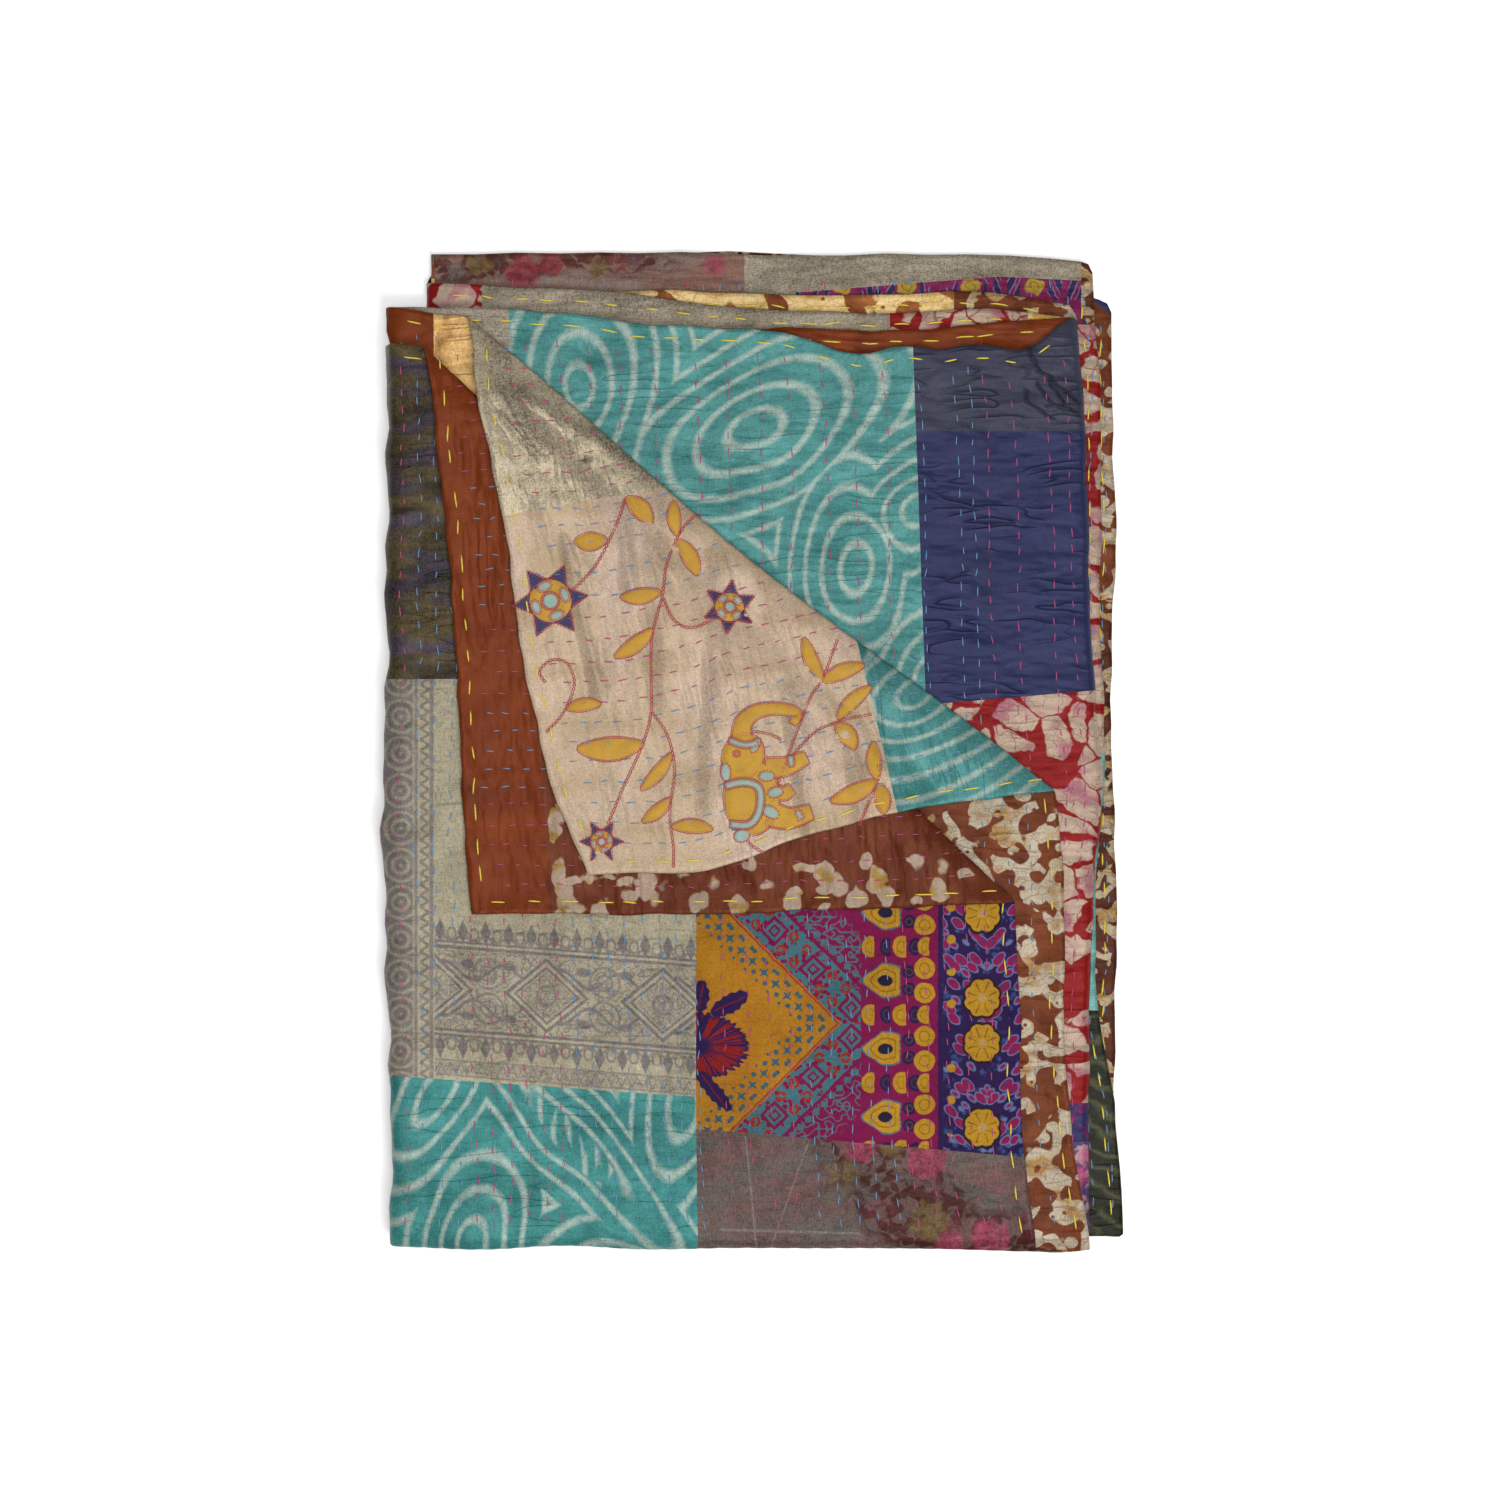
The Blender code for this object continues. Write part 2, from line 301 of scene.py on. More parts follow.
for name, ends in (("A", TURN_A), ("B", TURN_B)):
    print("fold line of", name, "mm:", round(math.dist(*ends), 1))

# %% [markdown]
# ## Rolls, waves and curled hems
#
# Thick soft cloth doesn't fold flat. A diagonal fold stands up as a roll, low waves run
# between the rows of stitches, and free hems curl up. Each is a height to be added, worked
# out from the place in the stack and the level there.

# %% Heights to be added
# Each roll's fold line, its height, the level from which it grows and over how many.
ROLLS = ((TURN_A, 5 * MM, LEVEL_A - 0.4, 0.5), (TURN_B, 9.2 * MM, LEVEL_B, 1.2))
ROLL_RISE, ROLL_FALL, ROLL_POWER = 25.0, 55.0, 1.3  # over these mm they rise and sink
ROLL_LINES = (4.0, 9.0, 16.0, 25.0)  # cut lines on the roll, past the turn, in mm
# Each wave's length in mm, its direction in degrees and its height in mm.
WAVES = ((61, 20, 0.22), (47, 75, 0.20), (35, 140, 0.16), (27, 98, 0.16), (22, 165, 0.10))
HEM_LIFT, HEM_REACH = 2.2 * MM, 11 * MM  # free hems of the upper layers curl up a little
# Where a place lies along the hems' tables: their ends and lengths in mm, and how much
# narrower the top panel is than the second one.
CURL_LEFT, CURL_WIDE, CURL_LOW, CURL_HIGH, NARROWER = -298, 560, -403, 740, 1.1


def rolled(x, y, level):
    """How far the cloth stands up beside the fold lines of the two corners.

    It rises over the width ROLL_RISE, steeply at first, and sinks back slowly, as the
    exponential of a power of the distance.
    """
    total = 0.0
    for ends, high, grows, over in ROLLS:
        inside = -past_line(x, y, ends) / MM - 1
        hump = 1 - (1 - np.clip(inside / ROLL_RISE, 0, 1)) ** 2
        hump = hump * np.exp(-(np.maximum(inside - ROLL_RISE, 0) / ROLL_FALL) ** ROLL_POWER)
        total = total + high * hump * np.clip((level - grows) / over, 0, 1)
    return total


def waves(x, y, level):
    """Low waves, other ones on each layer and none on the lowest: each is a sine along its
    direction, bent by another sine across it."""
    total = 0.0
    for length, way, height in WAVES:
        turn = math.radians(way)
        along_it = (x * math.cos(turn) + y * math.sin(turn)) / (length * MM)
        cross = (y * math.cos(turn) - x * math.sin(turn)) / (2.3 * length * MM)
        phase = 2 * math.pi * along_it + 1.7 * np.sin(2 * math.pi * cross + level) + level * 2.1
        total = total + height * MM * np.sin(phase)
    return total * np.clip((level - 1) / 3, 0, 1)


def curled(x, y, level):
    """How far the free hems of layers A, B and C curl up: a bell curve of the distance."""
    share = np.clip((x / MM - CURL_LEFT) / CURL_WIDE, 0, 1)
    up = np.clip((y / MM - CURL_LOW) / CURL_HIGH, 0, 1)
    total = 0.0
    for name, at_level, side in (("A", LEVEL_A, "hem A"), ("B", LEVEL_B, "hem B"),
                                 ("C", LEVEL_B - 1, None)):
        inward = along(TOPS[name], share if name == "C" else share * NARROWER) - y
        if side:
            inward = np.minimum(inward, along(SIDES[side], up) - x)
        near = np.exp(-(inward / HEM_REACH) ** 2)
        total = total + HEM_LIFT * near * (np.abs(level - at_level) < SAME)
    return total


print("rolls stand up, mm:", [round(high / MM, 1) for _, high, _, _ in ROLLS])

# %% [markdown]
# `settle` puts all of it together. The layers are a little further apart beside the folds,
# where turned cloth takes more room, the stack's edges are rounded off, and the quilt
# rests on its four corners.

# %% The place of each point
SWELL, SWELL_REACH, MOST_SWELL = 0.22, 55 * MM, 1.2  # more room beside the folds
UNEVEN, UNEVEN_WIDTHS = 0.05, (80 * MM, 130 * MM)  # and a little more here and there
EDGE_ROUND, EDGE_SINK = 15 * MM, 0.20  # the width and the share by which the edges sink
# What isn't near a corner lies this much higher: the limits are from the middle.
CORNER_DROP, CORNER_X, CORNER_Y = 0.4 * MM, (200 * MM, 270 * MM), (300 * MM, 380 * MM)


def settle(x, y, level):
    """The final place of points whose corners aren't yet turned down, as an n x 3 array.

    The height is the level times the room for each, and the added heights. The room grows
    with the exponential of minus the distance from the left and bottom folds, and a
    quarter circle takes some away at the edge itself.
    """
    on_a = np.abs(level - LEVEL_A) < SAME
    on_b = np.abs(level - LEVEL_B) < SAME
    curl = curled(x, y, level)
    ax, ay, al = turned_down(x, y, level, TURN_A)
    bx, by, bl = turned_down(x, y, level, TURN_B)
    bl = np.where(bl > LEVEL_B + PLY, climbed(bx, by, bl), bl)
    bx, by = bowed(bx, by)
    x, y = np.where(on_a, ax, np.where(on_b, bx, x)), np.where(on_a, ay, np.where(on_b, by, y))
    level = np.where(on_a, al, np.where(on_b, bl, level))
    left = np.maximum(x - SIDES["first fold"][0] * MM, 0)
    low = np.maximum(y - BOTTOMS[0][0] * MM, 0)
    swell = np.minimum(np.exp(-left / SWELL_REACH) + np.exp(-low / SWELL_REACH), MOST_SWELL)
    wide, long = UNEVEN_WIDTHS
    uneven = np.sin(x / wide + np.sin(y / long)) * np.cos(y / wide)
    apart = 1 + SWELL * swell + UNEVEN * uneven
    for distance in (left, low):
        near = 1 - np.clip(distance / EDGE_ROUND, 0, 1)
        apart = apart - EDGE_SINK * (1 - np.sqrt(1 - near * near))
    lift = CORNER_DROP * (1 - rise(x, CORNER_X) * rise(y, CORNER_Y))
    z = THICK / 2 + (level - 1) * PITCH * apart + lift + waves(x, y, level)
    z = z + rolled(x, y, level) + curl
    return np.stack([x, y, z], axis=-1)


print("middle of layer A, mm:", np.round(settle(0.0, -0.2, LEVEL_A) / MM, 1))

# %% [markdown]
# ## The sheet as a grid
#
# The sheet is a grid of columns, which run across the four panels and round the three
# side folds, and rows, which run down one ply, round the bottom fold and up the other.
# Each point keeps its stack place, its flat place u, v on the cloth (for the fabrics) and
# how much stitches pinch it. A column stands on each row of stitches of the upper panels,
# so that a stitched row is a real channel in the mesh, and lines lie closer at the edges.

# %% Columns
COARSE_CELLS = 16  # across each of the two lower panels
# Rows of running stitches in the top panel, at the middle of its height, from the left.
ROWS_A = tuple(range(-287, -36, 14)) + (-27, -8, 9, 26, 43, 59, 75, 90, 106, 121, 138, 154,
                                        172, 189)
SPAN_A = (-294.0, 212.0)
ROWS_C = tuple(range(-288, -200, 14)) + (-185, -157, -132, -108, -79, -43, -17.5, 8.6, 33, 63,
                                         87.6, 113.7, 143, 172.4, 184.6, 196, 219.6, 248, 263.6)
SPAN_C = (-295.0, 271.0)
ROWS = (tuple((u - SPAN_A[0]) / (SPAN_A[1] - SPAN_A[0]) for u in ROWS_A),
        tuple((u - SPAN_C[0]) / (SPAN_C[1] - SPAN_C[0]) for u in ROWS_C)) \
    + (tuple((i + 0.5) / 38 for i in range(38)),) * 2
EDGE_STEPS = (2.0, 5.0, 9.5)  # extra lines beside the left and bottom edges, in mm
EDGE_CLEAR = 0.022  # of a panel's width, in which only these lines stand
WIDE_GAP = 20  # mm: rows further apart have two columns between them
HEM_LINE = 9 * MM  # the yellow hem stitches' distance from the edge
NARROW = 3 * MM  # and a hem's rounded edge
FOLDED_WIDE, HEMMED_WIDE = 540, 510 * MM  # rounded widths, to turn steps into shares


def panel_columns(panel):
    """(share across, pinch) of a panel's columns, from left to right."""
    on = np.array(ROWS[panel])
    gap = np.diff(on)
    if panel == 0:  # two columns between the rows, and one in the panels below
        shares = np.concatenate([on, on[:-1] + gap / 3, on[:-1] + gap * 2 / 3])
        pinch = np.concatenate([np.ones(len(on)), np.zeros(2 * len(gap))])
    elif panel == 1:
        wide = gap > WIDE_GAP / (SPAN_C[1] - SPAN_C[0])
        between = np.concatenate([on[:-1][~wide] + gap[~wide] / 2, on[:-1][wide] + gap[wide] / 3,
                                  on[:-1][wide] + gap[wide] * 2 / 3])
        shares = np.concatenate([on, between])
        pinch = np.concatenate([np.ones(len(on)), np.zeros(len(between))])
    else:
        shares = np.arange(1, COARSE_CELLS) / COARSE_CELLS
        pinch = np.zeros(COARSE_CELLS - 1)
    if panel < 2:
        beside = np.array(EDGE_STEPS) / FOLDED_WIDE
        shares = np.concatenate([shares[shares > EDGE_CLEAR], beside])
        pinch = np.concatenate([pinch[-len(shares) + len(beside):], 0 * beside])
    if panel in (0, 3):  # a free hem on the right, with its own two lines
        near_hem = [1 - HEM_LINE / HEMMED_WIDE, 1 - NARROW / HEMMED_WIDE]
        shares = np.concatenate([shares, near_hem])
        pinch = np.concatenate([pinch, [1, 0]])
    shares, pinch = np.concatenate([[0], shares, [1]]), np.concatenate([[0], pinch, [0]])
    order = np.argsort(shares, kind="stable")
    shares, pinch = shares[order], pinch[order]
    keep = np.concatenate([[True], np.diff(shares) > 1e-4])
    return shares[keep], pinch[keep]


print("columns of each panel:", [len(panel_columns(panel)[0]) for panel in range(4)])

# %% Rows
ROW_CELL = 9.5 * MM
COARSE_ROW = 1.8  # times as high where little of a ply shows
TURN_STEPS = 6  # round each fold
P_HIGH, Q_HIGH = 725 * MM, 765 * MM  # the plies' rounded heights
P_COARSE, Q_COARSE = 0.04, 0.34  # the share of each that has coarse rows
TURN_ORDER = 0.02  # of a ply is kept for the turn's rows in the order


def ply_rows(height, coarse_to):
    """(share up, pinch) of a ply's rows, from the bottom fold to the top hem.

    Up to the share coarse_to, where little of the ply shows, they lie further apart.
    """
    fine_from = coarse_to * height
    coarse = round(fine_from / (COARSE_ROW * ROW_CELL))
    count = round((height - HEM_LINE - fine_from) / ROW_CELL)
    shares = np.concatenate([[0], np.array(EDGE_STEPS) * MM / height,
                             np.linspace(0, coarse_to, coarse + 1)[1:-1],
                             np.linspace(coarse_to, 1 - HEM_LINE / height, count + 1),
                             [1 - NARROW / height, 1]])
    shares = np.sort(shares)
    pinch = np.zeros(len(shares))
    pinch[-3] = 1  # the row of hem stitches
    return shares, pinch


def sheet_rows():
    """Each row's share up, turn round the bottom fold, pinch and order.

    The order is 0 to 1 on the first ply and 1 to 2 on the second, with the turn round 1.
    """
    p_up, p_pinch = ply_rows(P_HIGH, P_COARSE)
    q_up, q_pinch = ply_rows(Q_HIGH, Q_COARSE)
    turns = np.linspace(0, math.pi, TURN_STEPS + 1)[1:-1]
    zero = np.zeros(len(turns))
    up = np.concatenate([p_up[::-1], zero, q_up])
    turn = np.concatenate([np.zeros(len(p_up)), turns, np.full(len(q_up), math.pi)])
    pinch = np.concatenate([p_pinch[::-1], zero, q_pinch])
    order = np.concatenate([(1 - TURN_ORDER) * (1 - p_up[::-1]),
                            1 + (turns / math.pi - 0.5) * TURN_ORDER,
                            1 + TURN_ORDER + (1 - TURN_ORDER) * q_up])
    return up, turn, pinch, order


print("rows of the sheet:", len(sheet_rows()[0]))

# %% Panels and folds on the grid


def panel_grid(panel, across, rows):
    """x, y, level, u, v of every crossing of a panel's columns and the sheet's rows.

    Round the bottom fold y goes by the sine of the turn and the level by its cosine, and
    v by the turn itself, as it does on the flat cloth.
    """
    up, turn = rows[0][None, :], rows[1][None, :]
    across = across[:, None]
    first, part = turn <= math.pi / 2, turn / math.pi
    ends = {}
    for end in ("left", "right"):
        ends[end] = (1 - part) * side_at(panel, end, 0, up) + part * side_at(panel, end, 1, up)
    left, right = ends["left"] + REACH, ends["right"]
    if PANELS[panel]["right"][0] == "second fold":
        right = right - REACH
    bottom = bottom_at(panel, across)
    top = np.where(first, top_at(panel, 0, across), top_at(panel, 1, across))
    flat_y = bottom + up * (top - bottom)
    y = flat_y - PLY * PITCH * np.sin(turn)
    v = flat_y - PLY * PITCH * np.minimum(turn, math.pi - turn)
    x = left + across * (right - left)
    level = PANEL_LEVEL[panel] + PANELS[panel]["up"] * PLY * np.cos(turn) + 0 * x
    return x, y, level, x, v + 0 * x


def fold_grid(fold, angles, rows):
    """The same for the columns round a side fold: x by the sine, the level by the cosine."""
    up, turn = rows[0][None, :], rows[1][None, :]
    angles = angles[:, None]
    at_right = fold == 1
    way, end = (1, "right") if at_right else (-1, "left")
    share = np.array([1.0 if at_right else 0.0])
    _, y_up, _, _, v_up = panel_grid(fold, share, rows)
    _, y_low, _, _, v_low = panel_grid(fold + 1, share, rows)
    # The hem steps on the inside of the fold: early on the inner ply, late on the outer.
    part, inner = angles / math.pi, turn / math.pi if fold != 1 else 1 - turn / math.pi
    part = np.clip(2 * part - 1 + inner, 0, 1)
    edge = (1 - turn / math.pi) * side_at(fold, end, 0, up) \
        + turn / math.pi * side_at(fold, end, 1, up)
    radius = FOLD_RADIUS - way * PLY * np.cos(turn)
    x = edge - way * REACH + way * radius * PITCH * np.sin(angles)
    u = edge - way * REACH + way * radius * PITCH * np.minimum(angles, math.pi - angles)
    level = FOLD_LEVEL[fold] + radius * np.cos(angles)
    return x, y_up + (y_low - y_up) * part, level, u, v_up + (v_low - v_up) * part

# %% [markdown]
# The grid's points go into one array with a column for each of their values, and its
# cells are two triangles each. Each triangle knows its layer, by the panel and the ply
# that it lies in.

# %% The grid
X, Y, LEVEL, U, V, PINCH = range(6)


def whole_grid():
    """The panels' and folds' grids side by side, as points, triangles and their layers.

    A cell lies in the panel and ply that the whole part of its lines' mean order gives.
    """
    rows = sheet_rows()
    blocks, across_pinch, column_order = [], [], []
    turns = np.linspace(0, math.pi, TURN_STEPS + 1)[1:-1]
    for panel in range(4):
        shares, pinch = panel_columns(panel)
        flipped = 1 - shares if panel % 2 == 0 else shares
        order = panel + TURN_ORDER + (1 - 2 * TURN_ORDER) * flipped
        if panel % 2 == 0:  # the sheet starts at the first panel's free right hem
            shares, pinch, order = shares[::-1], pinch[::-1], order[::-1]
        blocks.append(np.stack(panel_grid(panel, shares, rows), -1))
        across_pinch.append(pinch)
        column_order.append(order)
        if panel < 3:
            blocks.append(np.stack(fold_grid(panel, turns, rows), -1))
            across_pinch.append(np.zeros(len(turns)))
            column_order.append(panel + 1 + (turns / math.pi - 0.5) * TURN_ORDER)
    grid = np.concatenate(blocks)
    pinch = np.maximum(np.concatenate(across_pinch)[:, None], rows[2][None, :])
    order = np.concatenate(column_order)
    points = np.concatenate([grid, pinch[..., None]], -1).reshape(-1, 6)
    wide, high = grid.shape[:2]
    index = np.arange(wide * high).reshape(wide, high)
    a, b = index[:-1, :-1].ravel(), index[1:, :-1].ravel()
    c, d = index[1:, 1:].ravel(), index[:-1, 1:].ravel()
    triangles = np.concatenate([np.stack([a, b, c], 1), np.stack([a, c, d], 1)])
    panel = np.floor((order[:-1] + order[1:]) / 2).astype(int)
    ply = np.floor((rows[3][:-1] + rows[3][1:]) / 2).astype(int)
    name = np.array([[LAYERS.index(PANELS[p]["plies"][q]) for q in (0, 1)] for p in range(4)])
    layer = np.tile(name[panel[:, None], ply[None, :]].ravel(), 2)
    return points, triangles, layer


points, triangles, layer = whole_grid()
print("grid:", len(points), "points,", len(triangles), "triangles")

# %% [markdown]
# ## Cutting the grid along lines
#
# Seams between patches and the lines of the turned corners run across the grid's cells,
# so the triangles are cut there: an edge whose ends lie on either side of the line gets a
# new point, at the share d0 / (d0 - d1) along it, and the triangles on it are divided.

# %% The cutter
SNAP = 0.25 * MM


def cut(points, triangles, layer, chosen, distance):
    """Divides the chosen triangles where the points' distances change sign."""
    distance = np.where(np.abs(distance) < SNAP, 0, distance)
    ends = np.stack([triangles, np.roll(triangles, -1, axis=1)], -1)
    key = np.sort(ends, -1).reshape(-1, 2)
    edges, back = np.unique(key[:, 0] * len(points) + key[:, 1], return_inverse=True)
    first, second = edges // len(points), edges % len(points)
    crosses = distance[first] * distance[second] < 0
    wanted = np.zeros(len(edges), bool)
    wanted[back.reshape(-1, 3)[chosen].ravel()] = True
    split = crosses & wanted
    if not split.any():
        return points, triangles, layer
    a, b = first[split], second[split]
    share = (distance[a] / (distance[a] - distance[b]))[:, None]
    new_index = np.full(len(edges), -1)
    new_index[split] = len(points) + np.arange(split.sum())
    points = np.concatenate([points, points[a] * (1 - share) + points[b] * share])
    middle = new_index[back.reshape(-1, 3)]  # of the edges 0-1, 1-2 and 2-0
    count = (middle >= 0).sum(1)
    kept, kept_layer = [triangles[count == 0]], [layer[count == 0]]
    one = count == 1
    turn = np.argmax(middle[one] >= 0, axis=1)[:, None]
    t = np.take_along_axis(triangles[one], (np.arange(3)[None] + turn) % 3, 1)
    m = np.take_along_axis(middle[one], turn, 1)[:, 0]
    kept += [np.stack([t[:, 0], m, t[:, 2]], 1), np.stack([m, t[:, 1], t[:, 2]], 1)]
    kept_layer += [layer[one]] * 2
    two = count == 2
    whole = np.argmin(middle[two] >= 0, axis=1)[:, None]
    turn = (whole + 2) % 3  # so that the edge left whole is 1-2
    t = np.take_along_axis(triangles[two], (np.arange(3)[None] + turn) % 3, 1)
    m = np.take_along_axis(middle[two], (np.arange(3)[None] + turn) % 3, 1)
    kept += [np.stack([t[:, 0], m[:, 0], m[:, 2]], 1), np.stack([m[:, 0], t[:, 1], t[:, 2]], 1),
             np.stack([m[:, 0], t[:, 2], m[:, 2]], 1)]
    kept_layer += [layer[two]] * 3
    return points, np.concatenate(kept), np.concatenate(kept_layer)


def centres(columns):
    """The mean of some columns over each triangle's three points."""
    return points[:, columns][triangles].mean(1)

# %% Cut where the corners turn
for name, level, ends in (("A", LEVEL_A, TURN_A), ("B", LEVEL_B, TURN_B)):
    arc = [TURN_RADIUS * (math.pi * step / TURN_STEPS - 1) for step in range(TURN_STEPS + 1)]
    for offset in arc + [arc[-1] + line * MM for line in ROLL_LINES]:
        chosen = (layer == LAYERS.index(name)) & (np.abs(centres([LEVEL])[:, 0] - level) < SAME)
        distance = past_line(points[:, X], points[:, Y], ends) - offset
        points, triangles, layer = cut(points, triangles, layer, chosen, distance)
print("with the corners' lines:", len(triangles), "triangles")

# %% Normals and mesh objects


def unit(vectors):
    """Each vector over its length."""
    length = np.linalg.norm(vectors, axis=-1, keepdims=True)
    return vectors / np.where(length > 0, length, 1)


def point_normals(places, triangles):
    """The mean of the normals of the triangles round each point, weighed by area."""
    a, b, c = (places[triangles[:, i]] for i in range(3))
    face = np.cross(b - a, c - a)
    normal = np.zeros_like(places)
    for i in range(3):
        for axis in range(3):
            normal[:, axis] += np.bincount(triangles[:, i], face[:, axis], len(places))
    return unit(normal)


def mesh_object(name, places, faces, materials=(), indexes=None, smooth=True, uv=None):
    """A mesh object at the origin. uv is one pair for each point."""
    mesh = bpy.data.meshes.new(name)
    mesh.from_pydata(places.tolist(), [], faces.tolist())
    for material in materials:
        mesh.materials.append(material)
    if indexes is not None:
        mesh.polygons.foreach_set("material_index", np.asarray(indexes, np.int32))
    mesh.polygons.foreach_set("use_smooth", np.full(len(faces), smooth))
    if uv is not None:
        corners = np.asarray(faces).ravel()
        layer_of_uv = mesh.uv_layers.new(name="flat")
        layer_of_uv.uv.foreach_set("vector", uv[corners].astype(np.float32).ravel())
    mesh.validate()
    made = bpy.data.objects.new(name, mesh)
    bpy.context.scene.collection.objects.link(made)
    return made

# %% [markdown]
# ## The patches
#
# Both sides of the quilt are pieced from old saris. A patch is named by the layer that it
# shows on and given by its corners on the flat cloth, in millimetres. Later patches lie
# over earlier ones, and the first of a list is what the rest of that layer is made of.

# %% Patch tables


def box(x0, y0, x1, y1):
    """The corners of an upright rectangle."""
    return (x0, y0), (x1, y0), (x1, y1), (x0, y1)


ALL = box(-400, -500, 400, 500)
PATCHES = {
    1: {
        "A": (("block print", ALL), ("olive silk", box(-400, 60, -51, 500)),
              ("gold flower print", ((-51, 500), (-51, -303), (246, -328.5), (246, 500))),
              ("teal batik", ((-400, -253), (-51, -277), (-48, -500), (-400, -500))),
              ("mauve silk", ((-51, -303), (246, -328.5), (246, -500), (-48, -500)))),
        "B": (("cream sari", ALL), ("khaki silk", box(-400, -500, -71, 500)),
              ("teal batik", ((-71, 94), (400, 102), (400, -500), (-71, -500)))),
        "C": (("teal batik", ALL), ("flax silk", box(-400, -500, -202.5, 500)),
              ("grey navy silk", ((121, 420), (127, 261), (400, 261), (400, 420))),
              ("indigo silk", ((127, 261), (135, 39.5), (400, 62), (400, 261))),
              ("crackle batik", ((135, 39.5), (400, 62), (400, -283), (135, -283))),
              ("purple silk", box(135, -283, 400, -314)),
              ("pink floral", box(135, -314, 400, -500))),
        "D": (("flax silk", ALL), ("pink floral", box(-400, -500, -60, -80))),
        "E": (("flax silk", ALL), ("crackle batik", box(-400, 500, -225, 120)),
              ("crackle batik", box(106, 120, 400, 500)),
              ("tan batik", box(218, 250, 400, 500))),
        "F": (("teal silk", ALL),),
        "G": (("rose silk", ALL), ("flax silk", box(-12, -500, 400, 500)),
              ("magenta print", ((30, 375), (194, 388), (194, 100), (30, 100))),
              ("magenta print", ((194, 388), (400, 378), (400, 100), (194, 100))),
              ("crackle batik", box(255, 349, 400, 0)), ("teal silk", box(255, 0, 400, -209)),
              ("dark green silk", box(255, -209, 400, -500)),
              ("old batik", box(262, 349, 400, 500))),
        "H": (("block print", ALL), ("teal batik", box(-400, 180, -120, 500)),
              ("indigo silk", box(-120, 180, 90, 500)), ("cream sari", box(90, 120, 400, 500)),
              ("crackle batik", box(90, -130, 400, 120)),
              ("flax silk", box(-400, -60, -120, 180)),
              ("mauve silk", box(-400, -500, -150, -60)),
              ("teal silk", box(-150, -500, 120, -270)),
              ("gold flower print", box(120, -500, 400, -130))),
    },
    2: {
        "A": (("drop batik", ALL),
              ("rust silk", ((-400, 250.6), (400, 258), (400, 500), (-400, 500))),
              ("indigo silk", ((-38, 254), (28, 254), (28, 257.5), (-36, 258)))),
        "B": (("brown batik", ALL), ("rust silk", box(-400, -500, -263, 500)),
              ("tan silk", box(-263, 180, -140, 500))),
        "C": (("brown batik", ALL),),
        "D": (("rust silk", ALL),),
        "E": (("brown batik", ALL),),
        "F": (("tan batik", ALL), ("brown batik", box(158, -500, 400, 500))),
        "G": (("rust silk", ALL),),
        "H": (("old batik", ALL), ("brown batik", box(200, 125, 330, 420)),
              ("indigo silk", ((268, 371), (291, 354.5), (330, 354.5), (330, 420), (268, 420)))),
    },
}

# %% Cut along the seams
SEAM_PAST, SEAM_BESIDE = 12 * MM, 25 * MM  # how far from a seam's line triangles are cut
for side in (1, 2):
    for name, patches in PATCHES[side].items():
        for _, corners in patches[1:]:
            for start, end in zip(corners, corners[1:] + corners[:1]):
                a, way, across = line_through((start, end))
                length = np.linalg.norm(np.subtract(end, start)) * MM
                to = centres([U, V]) - a
                chosen = (layer == LAYERS.index(name)) & (to @ way > -SEAM_PAST) \
                    & (to @ way < length + SEAM_PAST) & (np.abs(to @ across) < SEAM_BESIDE)
                distance = (points[:, [U, V]] - a) @ across
                points, triangles, layer = cut(points, triangles, layer, chosen, distance)
print("with the seams:", len(triangles), "triangles")

# %% Which fabric each triangle is


def inside(place, corners):
    """Whether each place lies in the polygon: it is crossed an odd number of times."""
    odd = np.zeros(len(place), bool)
    for (x0, y0), (x1, y1) in zip(corners, corners[1:] + corners[:1]):
        if y0 == y1:
            continue
        level = (place[:, 1] < y0) != (place[:, 1] < y1)
        odd ^= level & (place[:, 0] < x0 + (place[:, 1] - y0) / (y1 - y0) * (x1 - x0))
    return odd


FABRICS = sorted({fabric for side in PATCHES.values() for patches in side.values()
                  for fabric, _ in patches})


def fabrics_of(side, place, layer):
    """The index in FABRICS at each flat place, in millimetres, on its layer."""
    found = np.zeros(len(place), int)
    for name, patches in PATCHES[side].items():
        here = layer == LAYERS.index(name)
        for fabric, corners in patches:
            found[here & inside(place, corners)] = FABRICS.index(fabric)
    return found


flat_centres = centres([U, V]) / MM
fabric_1, fabric_2 = (fabrics_of(side, flat_centres, layer) for side in (1, 2))
print("fabrics:", ", ".join(FABRICS))

# %% The cloth's middle surface
middle = settle(points[:, X], points[:, Y], points[:, LEVEL])
normal = point_normals(middle, triangles)
print("cloth before its thickness, mm:", np.round((middle.max(0) - middle.min(0)) / MM, 1))

# %% [markdown]
# ## Paint that follows the cloth
#
# Each fabric is printed, dyed or woven, so its pattern follows the flat cloth: it is
# worked out from the place u, v on the cloth, in millimetres, that each point keeps in
# its UV map. A pattern is arithmetic on that place, such as the distance from a centre
# for a ring. `add` makes a node, and a `Field` lets the arithmetic be written as such.

# %% Colours and nodes


def linear(colour):
    """An sRGB hex colour as linear red, green, blue and 1."""
    parts = [int(colour[i:i + 2], 16) / 255 for i in (1, 3, 5)]
    return tuple(c / 12.92 if c <= 0.04045 else ((c + 0.055) / 1.055) ** 2.4
                 for c in parts) + (1.0,)


